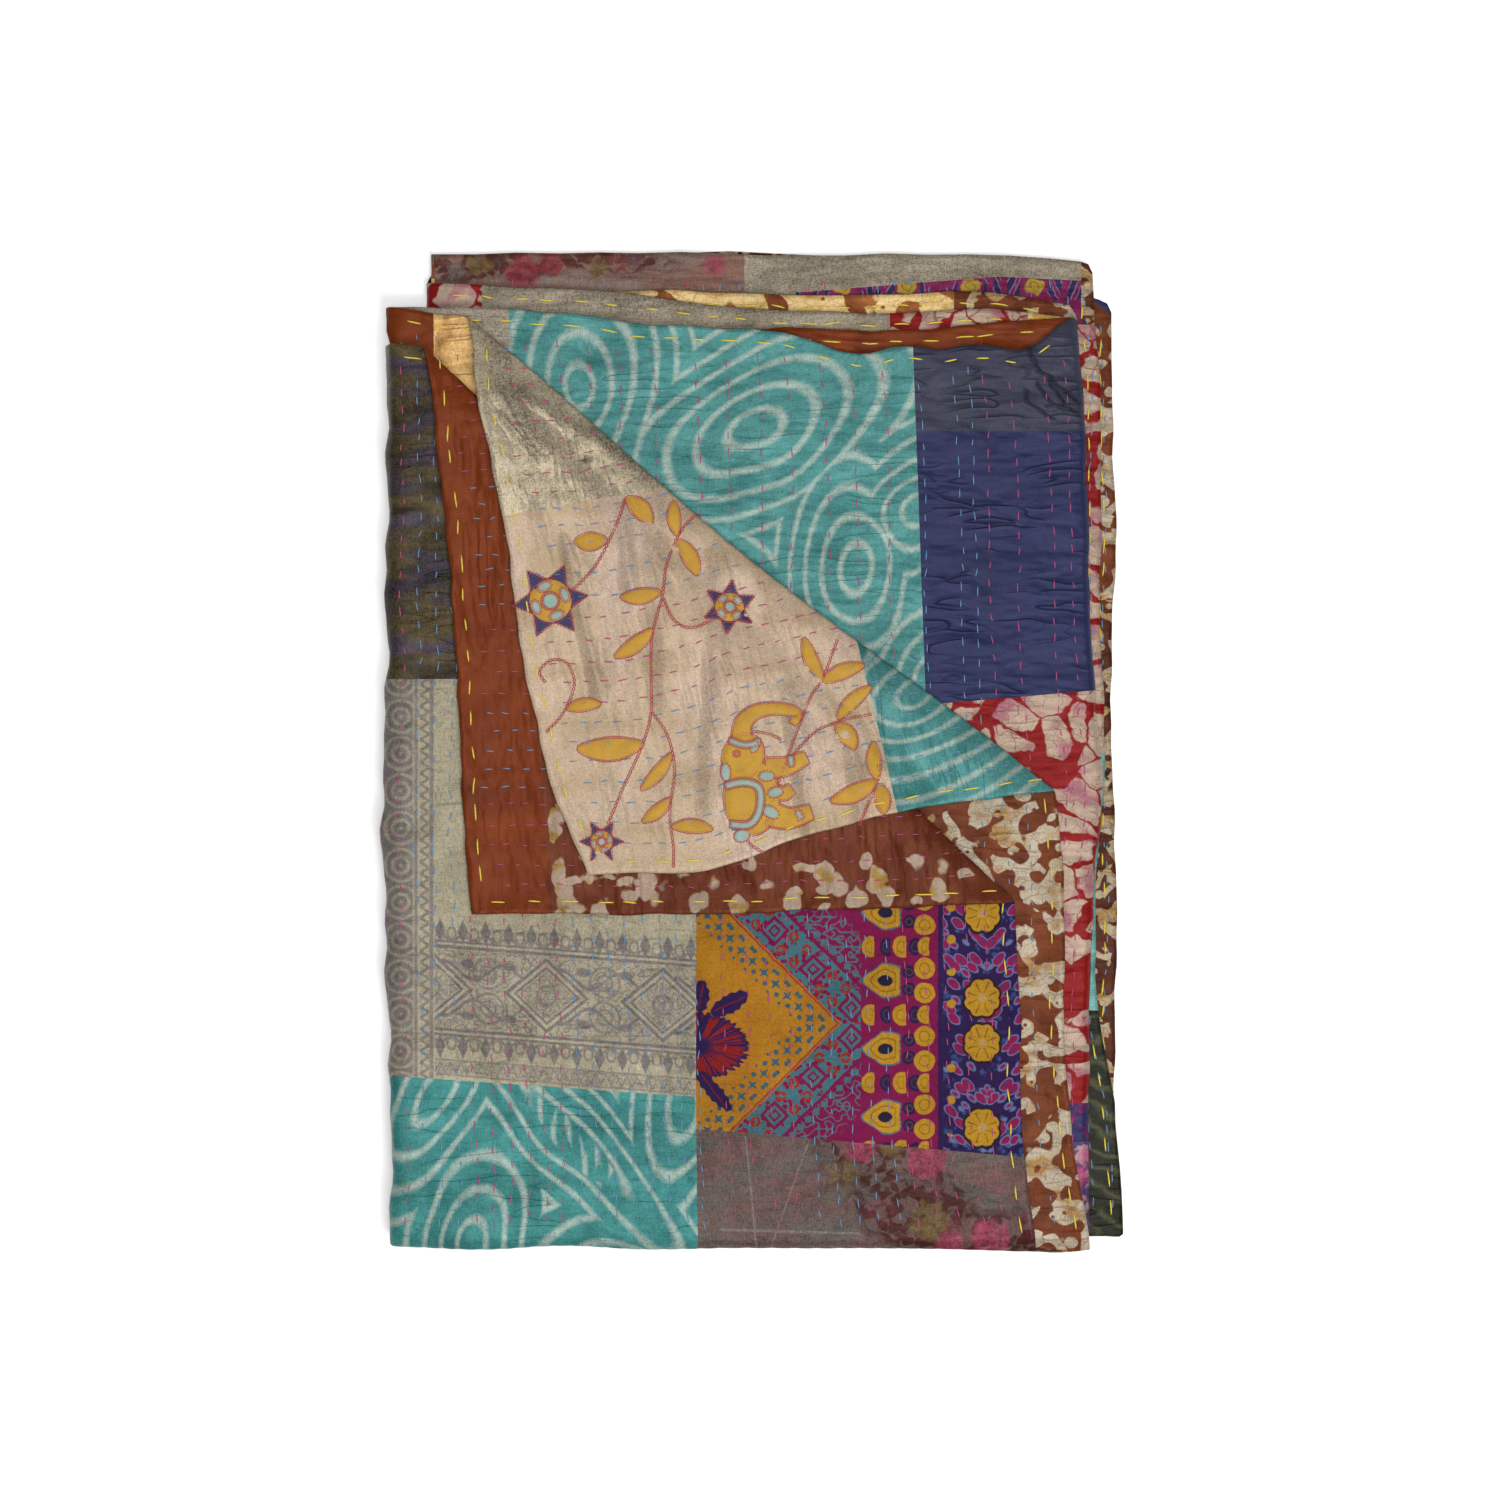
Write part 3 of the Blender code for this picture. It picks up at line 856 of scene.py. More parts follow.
def add(tree, kind, inputs=(), out=0, **settings):
    """Adds a node, gives it its settings and inputs, and returns one of its outputs."""
    node = tree.nodes.new("ShaderNode" + kind)
    for name, value in settings.items():
        setattr(node, name, value)
    for key, value in (inputs.items() if isinstance(inputs, dict) else enumerate(inputs)):
        if isinstance(value, Field):
            tree.links.new(value.socket, node.inputs[key])
        elif isinstance(value, str):
            node.inputs[key].default_value = linear(value)
        else:
            node.inputs[key].default_value = value
    return Field(tree, node.outputs[out])


def by(operation):
    """For Field: what adds the Math node of an operation."""
    return lambda self, *others: self.math(operation, *others)


class Field:
    """A value that varies over the cloth. Arithmetic on it adds Math nodes."""

    def __init__(self, tree, socket):
        self.tree, self.socket = tree, socket

    def math(self, operation, *others):
        return add(self.tree, "Math", (self, *others), operation=operation)

    __add__ = __radd__ = by("ADD")
    __mul__ = __rmul__ = by("MULTIPLY")
    __sub__, __truediv__, __abs__ = by("SUBTRACT"), by("DIVIDE"), by("ABSOLUTE")
    least, most = by("MINIMUM"), by("MAXIMUM")

    def __rsub__(self, other):
        return self * -1.0 + other

    def repeat(self, period, start=0.0):
        """The distance from the middle of the repeat that each place lies in."""
        return (self - start).math("WRAP", period / 2, -period / 2)

    def below(self, limit, soft=0.5):
        """1 where the value is under the limit and 0 where it is over, with a soft edge."""
        return add(self.tree, "MapRange", {"Value": self, "From Min": limit + soft,
                                           "From Max": limit - soft})

    def above(self, limit, soft=0.5):
        return self.below(limit, -soft)

    def between(self, low, high, soft=0.5):
        return self.above(low, soft) * self.below(high, soft)


def length(a, b):
    """The distance from the origin of a place a, b: the root of a squared plus b squared."""
    return (a * a + b * b).math("SQRT")


def turned(u, v, centre, degrees):
    """The place measured from a centre, along a direction and across it."""
    cosine, sine = math.cos(math.radians(degrees)), math.sin(math.radians(degrees))
    du, dv = u - centre[0], v - centre[1]
    return du * cosine + dv * sine, dv * cosine - du * sine


def noise(u, v, wide, high, detail=2.0, seed=0.0, out=0):
    """Smooth noise from 0 to 1 whose patches are wide by high, in millimetres."""
    place = add(u.tree, "CombineXYZ", (u / wide, v / high, seed))
    return add(u.tree, "TexNoise", {"Vector": place, "Scale": 1.0, "Detail": detail}, out=out)


def bent(u, v, wide, detail, seeds, far, middle=0.0):
    """The place moved by two noises, whose patches are wide mm, by far mm at most."""
    return [axis + (noise(u, v, wide, wide, detail, seed) - middle) * far
            for axis, seed in zip((u, v), seeds)]


def cells(u, v, wide, high, feature="F1", seed=0.0):
    """The distance from scattered points, or from the borders between their cells."""
    place = add(u.tree, "CombineXYZ", (u / wide, v / high, seed))
    return add(u.tree, "TexVoronoi", {"Vector": place, "Scale": 1.0}, out="Distance",
               feature=feature)


def painted(under, colour, mask):
    """The colour laid over what is under it where the mask is 1."""
    return add(mask.tree, "Mix", {0: mask, 6: under, 7: colour}, out=2, data_type="RGBA")


def layered(under, *coats):
    """Several coats one over the other, each a colour and its mask."""
    for colour, mask in coats:
        under = painted(under, colour, mask)
    return under


def parts(field):
    """The three numbers of a place or a colour."""
    split = add(field.tree, "SeparateXYZ", (field,)).socket.node
    return [Field(field.tree, output) for output in split.outputs]

# %% [markdown]
# Every fabric here is old silk: its threads are uneven (slubs), it has creases across the
# rows of stitches where they draw it in, and it is worn and stained in broad patches.
# `silk` finishes a fabric with these; the creases are bumps whose darkness is painted
# shade. The threads are drawn 1 mm apart, which is about three times the real distance,
# since finer ones don't show in the picture.

# %% The silk finish


def new_fabric(name):
    """A material, and the place u, v on the flat cloth in millimetres."""
    material = bpy.data.materials.new(name.replace(" ", "_"))
    material.use_nodes = True
    u, v, _ = parts(add(material.node_tree, "UVMap", uv_map="flat"))
    return material, u * 1000, v * 1000


def pressed(u, v, lines):
    """Creases along given lines: x0, y0, x1, y1 and half the width of each, 0 to 1 high."""
    total = None
    for x0, y0, x1, y1, wide in lines:
        along_it, across = turned(u, v, (x0, y0), math.degrees(math.atan2(y1 - y0, x1 - x0)))
        beyond = (along_it - math.hypot(x1 - x0, y1 - y0)).most(along_it * -1).most(0)
        near = (1 - length(beyond * 0.6, across) / wide).most(0)
        ridge = near * near * (3 - near * 2)
        total = ridge if total is None else total.most(ridge)
    return total


def silk(material, u, v, colour, lines=(), slub=0.3, crease=0.4, stain=0.3, rough=0.42,
         shine=0.1, gloss=0.18, crinkle=1, folds=0.35, ridge=1, shade=0.2,
         reach=80):
    """Joins a fabric's colour to its shader through the threads, creases and stains.

    slub is how uneven the threads are and stain how worn the cloth is. crease is how deep
    the creases across the stitches are and how dark they are painted, a painted shade;
    folds is how high they stand and reach how long, in mm. crinkle is how crumpled it is,
    ridge the height of its pressed lines and shade their painted shade. gloss makes it a
    little metallic, for the clear shine of silk.
    """
    tree = material.node_tree
    threads = noise(u, v, 5, 0.9, 1, 3.1) + noise(u, v, 0.9, 5, 1, 7.7)
    grain = noise(u, v, 1.3, 1.3, 2, 5.5)
    wander = noise(u, v, 40, 40, 1) * 30
    drawn_in = noise(u, v, 55, 45, 1, 9.9).above(0.53, 0.08)
    valley = abs(noise(u + wander, v + wander * 0.3, reach, 9.5, 0.5, 1.3) - 0.5)
    creases = valley.below(0.004, 0.02) * drawn_in
    patches = noise(u, v, 70, 55, 3, 2.2)
    # the creases darken the colour: a painted shade in them, besides their groove in the bump
    light = 1 + (threads - 1) * slub * 1.3 + (grain - 0.5) * slub * 3.4 \
        + (patches - 0.5) * stain * 2 - creases * crease
    crumple = noise(u + wander, v, 44, 19, 2, 4.4)
    height = crumple * crinkle * 2.4 - creases * crease + threads * 0.06 \
        + valley.below(0, 0.12) * drawn_in * folds + grain * 0.06
    if lines:
        ridges = pressed(u + crumple * 16, v + crumple * 12, lines)
        height = height + ridges * ridge
        # the pressed lines darken the colour: a painted shade, besides their ridge in the bump
        light = light - ridges * shade
    colour = add(tree, "Mix", {0: 1, 6: colour, 7: light}, out=2, data_type="RGBA",
                 blend_type="MULTIPLY")
    bump = add(tree, "Bump", {"Height": height, "Strength": 1, "Distance": 0.0020})
    shader = tree.nodes["Principled BSDF"]
    for key, field in (("Base Color", colour), ("Normal", bump),
                       ("Roughness", rough + (grain - 0.5) * 0.2 + creases * 0.15)):
        tree.links.new(field.socket, shader.inputs[key])
    for key, value in (("Metallic", gloss), ("Specular IOR Level", shine),
                       ("Sheen Weight", 0.02), ("Sheen Roughness", 0.5)):
        shader.inputs[key].default_value = value
    return material


MATERIALS = {}


def fabric(name, **finish):
    """Makes a fabric from the function below it, which gives its colour at u, v."""
    def make(colour_at):
        material, u, v = new_fabric(name)
        MATERIALS[name] = silk(material, u, v, colour_at(u, v), **finish)
    return make

# %% [markdown]
# ## Plain silks
#
# The plain patches are one dyed colour with the warp and weft in slightly different
# shades, and some have shaded stripes or streaks. The dark green one has paler waves.

# %% Plain silk materials


def plain_silk(name, colour, other, wide, high, third=None, **changes):
    """One colour shading into another in soft streaks, wide by high millimetres."""
    material, u, v = new_fabric(name)
    streaks = noise(u, v, wide, high, 3, 6.6).above(0.42, 0.14)
    shaded = painted(colour, other, streaks)
    if third:
        shaded = painted(shaded, third, noise(u, v, wide * 0.8, high, 3, 2.1).above(0.54, 0.08))
    MATERIALS[name] = silk(material, u, v, shaded, **changes)


# Sharp old creases: x0, y0, x1, y1 and half the width, on the flat cloth. They are
# bumps, and their darkness is painted shade; the khaki's lie along the turned corner's fold.
KHAKI_LINES = ((-168, 344, -120, 330, 12), (-139, 345, -104, 325, 9), (-137, 305, -112, 275, 13),
               (-112, 275, -83, 245, 14), (-158, 329, -132, 304, 10), (-232, 352, -112, 322, 13))
NAVY_LINES = ((226, 336, 236, 317, 3), (236, 317, 267, 292, 3.5), (230, 325, 250, 301, 3),
              (250, 301, 266, 281, 2.5), (233, 304, 252, 287, 2.5), (244, 288, 270, 291, 3),
              (222, 298, 246, 277, 2.5))
plain_silk("olive silk", "#16130B", "#433924", 60, 16, "#352D36", stain=1.2, slub=0.6,
           crease=0.3)
plain_silk("khaki silk", "#857A66", "#A1957E", 25, 60, slub=0.5, stain=0.25, crease=0.2,
           gloss=0.34, lines=KHAKI_LINES, ridge=1.2, shade=0.32)
plain_silk("flax silk", "#6F6655", "#807667", 30, 50, slub=0.55, stain=0.35, crease=0.2)
plain_silk("grey navy silk", "#2C2E3F", "#343544", 60, 30, crease=0.6, slub=0.16,
           folds=0.6, reach=62, lines=NAVY_LINES, shade=0.5, ridge=0.3)
plain_silk("indigo silk", "#202646", "#27294A", 60, 40, crease=0.66, slub=0.14,
           folds=0.6, reach=62)
plain_silk("rust silk", "#5A2207", "#672B0A", 24, 90, crease=0.15, slub=0.12, stain=0.3)
plain_silk("tan silk", "#B68F58", "#C19B63", 26, 40, "#8A5C2C", slub=0.4, stain=0.4)
plain_silk("teal silk", "#206A6B", "#62928B", 34, 12, slub=0.3, crease=0.3)
print("plain silks:", ", ".join(MATERIALS))

# %% Dark green silk with paler waves


@fabric("dark green silk", slub=0.5)
def dark_green(u, v):
    """Waves where the distance to the middle of a repeat across a wandering line is small."""
    wave = (u * 0.35 + v + noise(u, v, 30, 30) * 40).repeat(17)
    return painted("#1B1C11", "#3C3D29", abs(wave).below(2.4, 2.2))

# %% [markdown]
# ## Teal batik
#
# Wax was drawn on pale silk in rings round long centres before it was dyed teal. The
# distance from a centre is measured shorter along its long axis, which makes the rings
# ovals, and each place takes the rings of the centre that is nearest in this measure.
# In one narrow oval at the lower left the wax lies in short dashes. The part on the second
# panel has been in the light for longer, so the ground is paler above a certain height.

# %% Teal batik: centre, direction of the long axis, its share of the short one, spacing
RINGS = (
    ((-145, 298), 92, 1.6, 1), ((0, 262), 30, 1.9, 0.95), ((78, 150), 96, 1.7, 0.85),
    ((128, 195), 52, 1.5, 0.8), ((30, 48), 20, 1.5, 0.9), ((-70, 120), 150, 1.6, 1),
    ((135, 60), 75, 1.6, 0.9), ((-231, -392), 80, 1.8, 0.9), ((-150, -312), -48, 5.5, 0.8),
    ((-99, -429), -20, 2, 0.9), ((-262, -272), 60, 2.4, 0.85), ((-62, -282), 80, 2.4, 0.85),
)
RING_PITCH = 16
DASHES_AT, DASHES_WAY, DASHES_SIZE = (-148, -316), -47, (54, 12)


@fabric("teal batik", slub=0.3, crease=0.28, folds=0.24)
def teal_batik(u, v):
    """Wax where the distance to the nearest centre comes round to a ring's middle."""
    drift_u, drift_v, _ = parts(noise(u, v, 75, 75, 0, 8, out="Color"))
    bent_u, bent_v = u + (drift_u - 0.5) * 22, v + (drift_v - 0.5) * 22
    nearest = None
    for centre, degrees, long, spacing in RINGS:
        along_it, across = turned(bent_u, bent_v, centre, degrees)
        ring = length(along_it / (long * spacing), across / spacing)
        nearest = ring if nearest is None else nearest.least(ring)
    hand = (noise(u, v, 9, 9, 2, 4) - 0.5) * 3.2
    wax = abs((nearest + 3).repeat(RING_PITCH) + hand * 0.6).below(2.2, 1.3)
    along_it, across = turned(u, v, DASHES_AT, DASHES_WAY)
    band = length(along_it / DASHES_SIZE[0], across / DASHES_SIZE[1]).below(1, 0.1)
    dash = abs((bent_u * 0.7 + u * 0.3).repeat(11)).below(2.2, 1.2) \
        * noise(u, v, 9, 24, 0, 6).above(0.46, 0.05)
    wax = (wax * (1 - band)).most(dash * band)
    worn = noise(u, v, 14, 14, 3, 3).between(0.3, 9, 0.25)
    veins = cells(u, v, 16, 9, feature="DISTANCE_TO_EDGE").below(0.012, 0.02)
    shading = noise(u, v, 40, 26, 3).above(0.5, 0.2)
    ground = painted(painted("#276260", "#3B7B78", shading),
                     painted("#316765", "#4A817E", shading), v.above(-200, 40))
    return layered(ground, ("#8D9B92", wax * (0.35 + worn * 0.5)), ("#145757", veins * 0.35))

# %% [markdown]
# ## Batiks in brown, tan and red
#
# In these the wax was laid in broad strokes and blobs. A stroke follows the line where a
# smooth noise crosses its middle value, so it wanders and keeps about the same width. A
# second noise is added to the distance from that line before it is cut off, so the stroke
# tapers and ends in a round tip where the second noise is low. Cells round scattered
# points give the drops. The rust one has rows of long drops along its hem and its seam,
# and in the crackled one the dye ran into the cracks of the wax, which are the borders
# between the cells.

# %% Brown and tan batiks


def stroke_batik(name, ground, deep, wax, warm, share, size, **changes):
    """Strokes and blobs of undyed silk, some of them stained, on a dyed ground."""
    material, u, v = new_fabric(name)
    gate = (0.49 - noise(u, v, size * 1.1, size * 1.1, 0, 5)).most(0)
    line = abs(noise(u, v, size, size, 0, 1) - 0.5) + gate * 1.3
    stroke = line.below(0.085 * share, 0.012)
    drop = cells(u, v, size * 0.6, size * 0.5, seed=2) + (gate - 0.02) * 6
    white = stroke.most(drop.below(0.30 * share, 0.03))
    hole = cells(u, v, 15, 13, seed=7).below(0.12, 0.03)
    veins = cells(u + noise(u, v, 12, 12) * 12, v, 15, 11,
                  feature="DISTANCE_TO_EDGE").below(0.015, 0.02)
    dyed = painted(ground, deep, noise(u, v, 22, 30, 3).above(0.52, 0.1))
    stained = painted(wax, warm, noise(u, v, 26, 20, 2, 3).above(0.57, 0.07))
    colour = painted(dyed, stained, white * (1 - veins * 0.6) * (1 - hole))
    MATERIALS[name] = silk(material, u, v, colour, **changes)


stroke_batik("brown batik", "#602E13", "#4F210C", "#9A8E7B", "#8A6C42", 1.2, 22, crease=0.2)
stroke_batik("old batik", "#4A2210", "#38170B", "#93836B", "#86673A", 1.1, 18, crease=0.3)
stroke_batik("tan batik", "#6A3416", "#8A5527", "#C0A672", "#AE8443", 2.1, 28, crease=0.2)

# %% Rust batik with rows of drops: where the rows lie and half their widths
HEM_DROPS, SEAM_DROPS, DROPS_FROM = (183, 16), (243, 6), 222


@fabric("drop batik", crease=0.15, slub=0.2)
def drop_batik(u, v):
    """Long drops of wax across the hem side, and a row of them along the seam."""
    beside = (abs(u - HEM_DROPS[0]) - HEM_DROPS[1]).most(0) * 0.03
    at_seam = (abs(v - SEAM_DROPS[0]) - SEAM_DROPS[1]).most(0) * 0.03
    bent_u, bent_v = bent(u, v, 12, 1, (4, 9), 12)
    along_hem = cells(bent_u, bent_v, 27, 19, seed=2).least(
        cells(bent_u, bent_v, 15, 25, seed=6) + 0.1) + beside
    along_seam = cells(bent_u, bent_v, 34, 15, seed=5) + at_seam
    white = along_hem.below(0.41, 0.03).most(along_seam.below(0.44, 0.03)
                                                   * v.above(DROPS_FROM))
    dyed = painted("#5F2D16", "#51200E", noise(u, v, 30, 22, 3).above(0.5, 0.12))
    stained = painted("#917D6C", "#83672F", noise(u, v, 16, 20, 2, 3).above(0.60, 0.06))
    return painted(dyed, stained, white)

# %% Crackled batik in white, pink and red


@fabric("crackle batik", slub=0.2, crease=0.25)
def crackle_batik(u, v):
    """Red where a place is near the border of two cells, and broader here and there."""
    bent_u, bent_v = bent(u, v, 16, 2, (0, 3), 16)
    cracks = cells(bent_u, bent_v, 33, 29, feature="DISTANCE_TO_EDGE", seed=1)
    fine = cells(bent_u, bent_v, 12, 10, feature="DISTANCE_TO_EDGE", seed=4)
    broad = noise(u, v, 42, 42, 1, 6).above(0.50, 0.10)
    red = (cracks - broad * 0.12).below(0.022, 0.015)
    thin = fine.below(0.014, 0.018) * noise(u, v, 20, 20, 1, 8).above(0.42, 0.04)
    pink = noise(u, v, 30, 30, 2, 2).above(0.56, 0.07)
    return layered("#9A8675", ("#8A4D5E", pink * 0.8), ("#651518", thin * 0.85),
                   ("#720C0D", red))


print("batiks are done")

# %% [markdown]
# ## Block print
#
# The border of this sari was stamped: lozenges with double outlines between two lines,
# with leaf points above and below. It repeats every 94 mm and runs slightly downhill, and
# an upright border stands at the left. s and t are the place along the band and across it,
# measured from the middle of its lozenge, and every stamped line is where a distance made
# of them is near a given one. The ink is uneven, as it is from a wooden block.

# %% Block print
LOZENGE_AT, LOZENGE_PITCH, DOWNHILL = (-171.6, -195.6), 93.8, 0.079
LEAF_PITCH = 18.4
BAND_FROM, STRIP, BORDER_TO = -262, (-274, -266), -279  # the band and left border


@fabric("block print", crease=0.15, slub=0.35)
def block_print(u, v):
    """Lozenges are lines of equal |s| and |t| sums, and round forms of equal distance."""
    worn = noise(u, v, 7, 7, 3, 2)
    shake = (noise(u, v, 6, 6, 2, 1) - 0.5) * 1.6
    s = (u - LOZENGE_AT[0]).repeat(LOZENGE_PITCH)
    t = v - LOZENGE_AT[1] + (u - LOZENGE_AT[0]) * DOWNHILL + shake
    lozenge = abs(s) * 0.66 + abs(t) * 0.75
    inside = lozenge.below(21.5)
    ink = lozenge.between(20.2, 23, 0.4).most(lozenge.between(15.8, 17.8, 0.4))
    grid = abs((s + t).repeat(7)).below(0.9).most(abs((s - t).repeat(7)).below(0.9))
    petals = abs(length(s, t) - 7.5).below(1.4).most(length(s, t).below(2.6))
    ink = ink.most(inside * lozenge.below(15) * grid * 0.6).most(petals * inside * 0.85)
    gap = s.repeat(LOZENGE_PITCH, LOZENGE_PITCH / 2)
    scroll = length(gap, abs(t) - 14)
    ring = abs(scroll.repeat(6)).below(1.2) * scroll.below(17)
    vine = abs(abs(t) - 15 - (gap * 0.13).math("SINE") * 7).below(1.6)
    bud = length((abs(gap) - 17) * 0.8, (abs(t) - 21) * 1.3).below(4.6, 0.6)
    ink = ink.most((ring * 0.8).most(vine).most(bud) * (1 - inside) * abs(t).below(31))
    twig = abs(noise(u, v, 6, 6, 0, 3) - 0.5).below(0.05, 0.03)
    field = abs(t).below(32) * (1 - lozenge.between(15, 24)) * u.above(BAND_FROM)
    ink = ink.most(field * twig * 0.85).most(field * 0.18)
    lines = abs(abs(t) - 33.5).below(1.3, 0.4).most(abs(abs(t) - 37.7).below(1, 0.4))
    leaf_s = u.repeat(LEAF_PITCH)
    leaf = (abs(leaf_s) * 1.3 + abs(abs(t) - 46.5) * 0.6).below(5.8, 0.7)
    scallop = abs(length(leaf_s * 0.8, abs(t) - 38) - 5).below(1)
    half = leaf_s.repeat(LEAF_PITCH, LEAF_PITCH / 2)
    ear = abs(length(half, (abs(t) - 44.5) * 0.7) - 3.4).below(0.9)
    ink = ink.most(lines).most(leaf).most(scallop.most(ear) * abs(t).between(37, 50) * 0.8)
    row = t.between(-71, -57)
    squiggle = abs((t + 64) - (u * 0.75).math("SINE") * 3.6).below(1.4, 0.6)
    edge = abs(abs(t + 64) - 6.2).below(0.9, 0.4)
    ink = ink.most(row * (squiggle * 0.8).most(edge * 0.7).most(twig * 0.7).most(0.2))
    ink = ink * u.above(BAND_FROM)
    medal = length(u + 289, v.repeat(30))
    column = abs(medal.repeat(6.5)).below(1.3, 0.7) * medal.below(15)
    strip = u.between(*STRIP) * abs((v * 0.7).math("SINE") * 3 + u + 270).below(2.2)
    border = u.below(BORDER_TO, 1.5)
    frame = abs(u + 277).below(1.4).most(abs(u + 264.5).below(1.6))
    ink = ink.most(border * (1 - column * 0.6)).most(strip * 0.8).most(frame * 0.8)
    ink = ink * (0.45 + worn * 0.8)
    ground = painted("#847C68", "#8E8671", noise(u, v, 50, 40).above(0.5, 0.15))
    grey = painted("#45434A", "#4A4150", noise(u, v, 26, 26, 2, 3).above(0.52, 0.08))
    return painted(ground, grey, ink.least(1) * 0.82)

# %% [markdown]
# ## Gold flower print
#
# This sari end has a golden field that ends in a point, edged with a trellis of small
# flowers, then a column of bell shapes on magenta and a column of round flowers on
# purple. `inward` is the distance inside the field's edge, which is the same for its two
# sides because the height is mirrored at the point.

# %% Gold flower print
POINT_AT = (63, -217.6)
BELL_AT, BELL_PITCH = (99, -183.4), 55
FLOWER_U, FLOWER_PAIR, FLOWER_PITCH = 180, (-215.5, 18.3), 105


@fabric("gold flower print", crease=0.15, slub=0.26, gloss=0.1, shine=0.06, rough=0.6)
def gold_print(u, v):
    """Each motif is where a distance made of the place in its repeat is under its size."""
    drift_u, drift_v, _ = parts(noise(u, v, 8, 8, 2, 2, out="Color"))
    x, y = u + (drift_u - 0.5) * 2.4, v + (drift_v - 0.5) * 2.4
    w = abs(y - POINT_AT[1])
    inward = (POINT_AT[0] - x - w) * 0.7071
    beside = (w - x) * 0.7071
    gold = painted("#986919", "#905C15", noise(u, v, 30, 40).above(0.5, 0.15))
    magenta, teal, red, purple = "#680F3B", "#3A5E67", "#842512", "#25143D"
    yellow, brown = "#9B721D", "#5B3E0E"
    # The trellis outside the golden field.
    trellis = inward.between(-33, -1, 0.3)
    speckle = cells(x, y, 5.2, 5.2, seed=3)
    twig = abs(noise(x, y, 6, 6, 0, 8) - 0.5).below(0.05, 0.02)
    motif, twin = beside.repeat(44), abs(beside.repeat(44, 22))
    deep = abs(inward + 17)
    block = abs(motif).most(deep)
    cross = (twin * 0.7).most(deep * 0.7).least(abs(twin - deep) + 2)
    rosette = length(twin - 7.5, deep - 7.5)
    tooth = (abs(beside.repeat(9)) * 0.9 + abs(inward + 38.5)).below(3.4, 0.3)
    colour = layered(
        magenta, (gold, inward.above(0, 0.4)),
        (teal, trellis * speckle.above(0.41, 0.03)),
        (teal, inward.between(-62, -34, 4) * twig * x.below(84) * 0.9),
        (magenta, trellis * abs(block - 7.5).below(1.3, 0.3)),
        (teal, trellis * block.below(6, 0.3)),
        (magenta, trellis * abs(block - 3).below(0.9, 0.3)),
        (red, trellis * abs(rosette - 3).below(1.2, 0.3) * (twin + deep).below(24)),
        (teal, trellis * cross.below(2.6, 0.3) * block.above(9)),
        ("#984E10", abs(inward + 1.6).below(0.8, 0.3)),
        (magenta, abs(inward + 34).below(1.5, 0.3)), (teal, tooth * 0.9))
    # Small teal flowers along the inside of the field's edge.
    near, far = beside.repeat(13), beside.repeat(13, 6.5)
    petal = (abs(near) * abs(inward - 13)).below(2.2, 0.6) \
        * length(near, inward - 13).below(4.6, 0.4)
    star = length(abs(far) - 1.6, inward - 6).below(1.9, 0.4)
    tip = length(far, inward - 18.5).below(2.1).most(length(near, inward - 22).below(1.2))
    # The flower at the field's left, whose petals are ragged streaks round one point.
    bloom_x, bloom_y = x + 50, y + 236
    petals = length(bloom_x / 1.5, bloom_y)
    spread = bloom_y.math("ARCTAN2", bloom_x * 0.66)
    ragged = petals + noise(spread * 14, petals, 1, 60, 0, 4) * 7
    streak = noise(spread * 16, petals, 1, 30, 0, 7).above(0.49, 0.04)
    colour = layered(colour, ("#314E56", petal.most(star).most(tip)),
                     (purple, ragged.below(30.5)),
                     ("#751714", streak * ragged.below(28, 1.5) * petals.above(8, 2)))
    for centre, degrees, long, wide in (((-24, -202), 30, 17, 7.5),
                                        ((-37, -272), -48, 21, 6),
                                        ((-47, -196), 85, 13, 6.5)):
        leaf_x, leaf_y = turned(x, y, centre, degrees)
        jag = (leaf_x * 0.9).math("SINE") * 0.6
        leaf = length(leaf_x / long, (abs(leaf_y) + jag) / wide)
        vein = abs(leaf_y + leaf_x * 0.1).below(0.5, 0.3) * leaf.below(0.8, 0.05) * 0.8
        colour = layered(colour, (purple, leaf.below(1, 0.05)), ("#711318", vein))
    # The column of bells.
    column = x.between(82, 145, 0.4)
    bell_y = y.repeat(BELL_PITCH, BELL_AT[1])
    bell_x = x - BELL_AT[0]
    taper = 1 + (bell_x * -1).most(0) * 0.055
    frill = abs((bell_y * 0.8).math("SINE")) * 0.8
    bell = length((bell_x - 3) * 0.72, bell_y * taper).most((bell_x - 5) * 1.35 + frill)
    drop = length(bell_x * 0.7 - 2, bell_y * taper)
    small_y = y.repeat(BELL_PITCH, BELL_AT[1] + BELL_PITCH / 2)
    colour = layered(
        colour, (magenta, x.above(82, 0.3)), ("#455865", column * bell.below(14.2, 0.3)),
        (yellow, column * bell.below(12.9, 0.3)),
        (brown, column * abs(bell - 8.6).below(0.5, 0.4) * 0.7),
        ("#1E162A", column * drop.below(4.4, 0.4)))
    for centre, size, paint in ((90, 7.2, yellow), (103.5, 6, purple),
                                (115.5, 7.4, yellow), (126.5, 6, purple),
                                (134.5, 6.4, yellow)):
        dome = length((x - centre) * 0.95, small_y * 0.85).most((x - centre) * 1.9 + 1.5)
        colour = layered(colour, (paint, column * dome.below(size, 0.4)),
                         (brown, column * abs(dome - size * 0.55).below(0.4, 0.4) * 0.5))
    for centre, size, paint, apart in ((121, 5.4, purple, 7), (133.5, 8.4, yellow, 10)):
        curl = length(x - centre, abs(bell_y) - apart)
        colour = layered(colour, (paint, column * curl.below(size, 0.4)),
                         (brown, column * abs(curl - size * 0.5).below(0.5, 0.4) * 0.6))
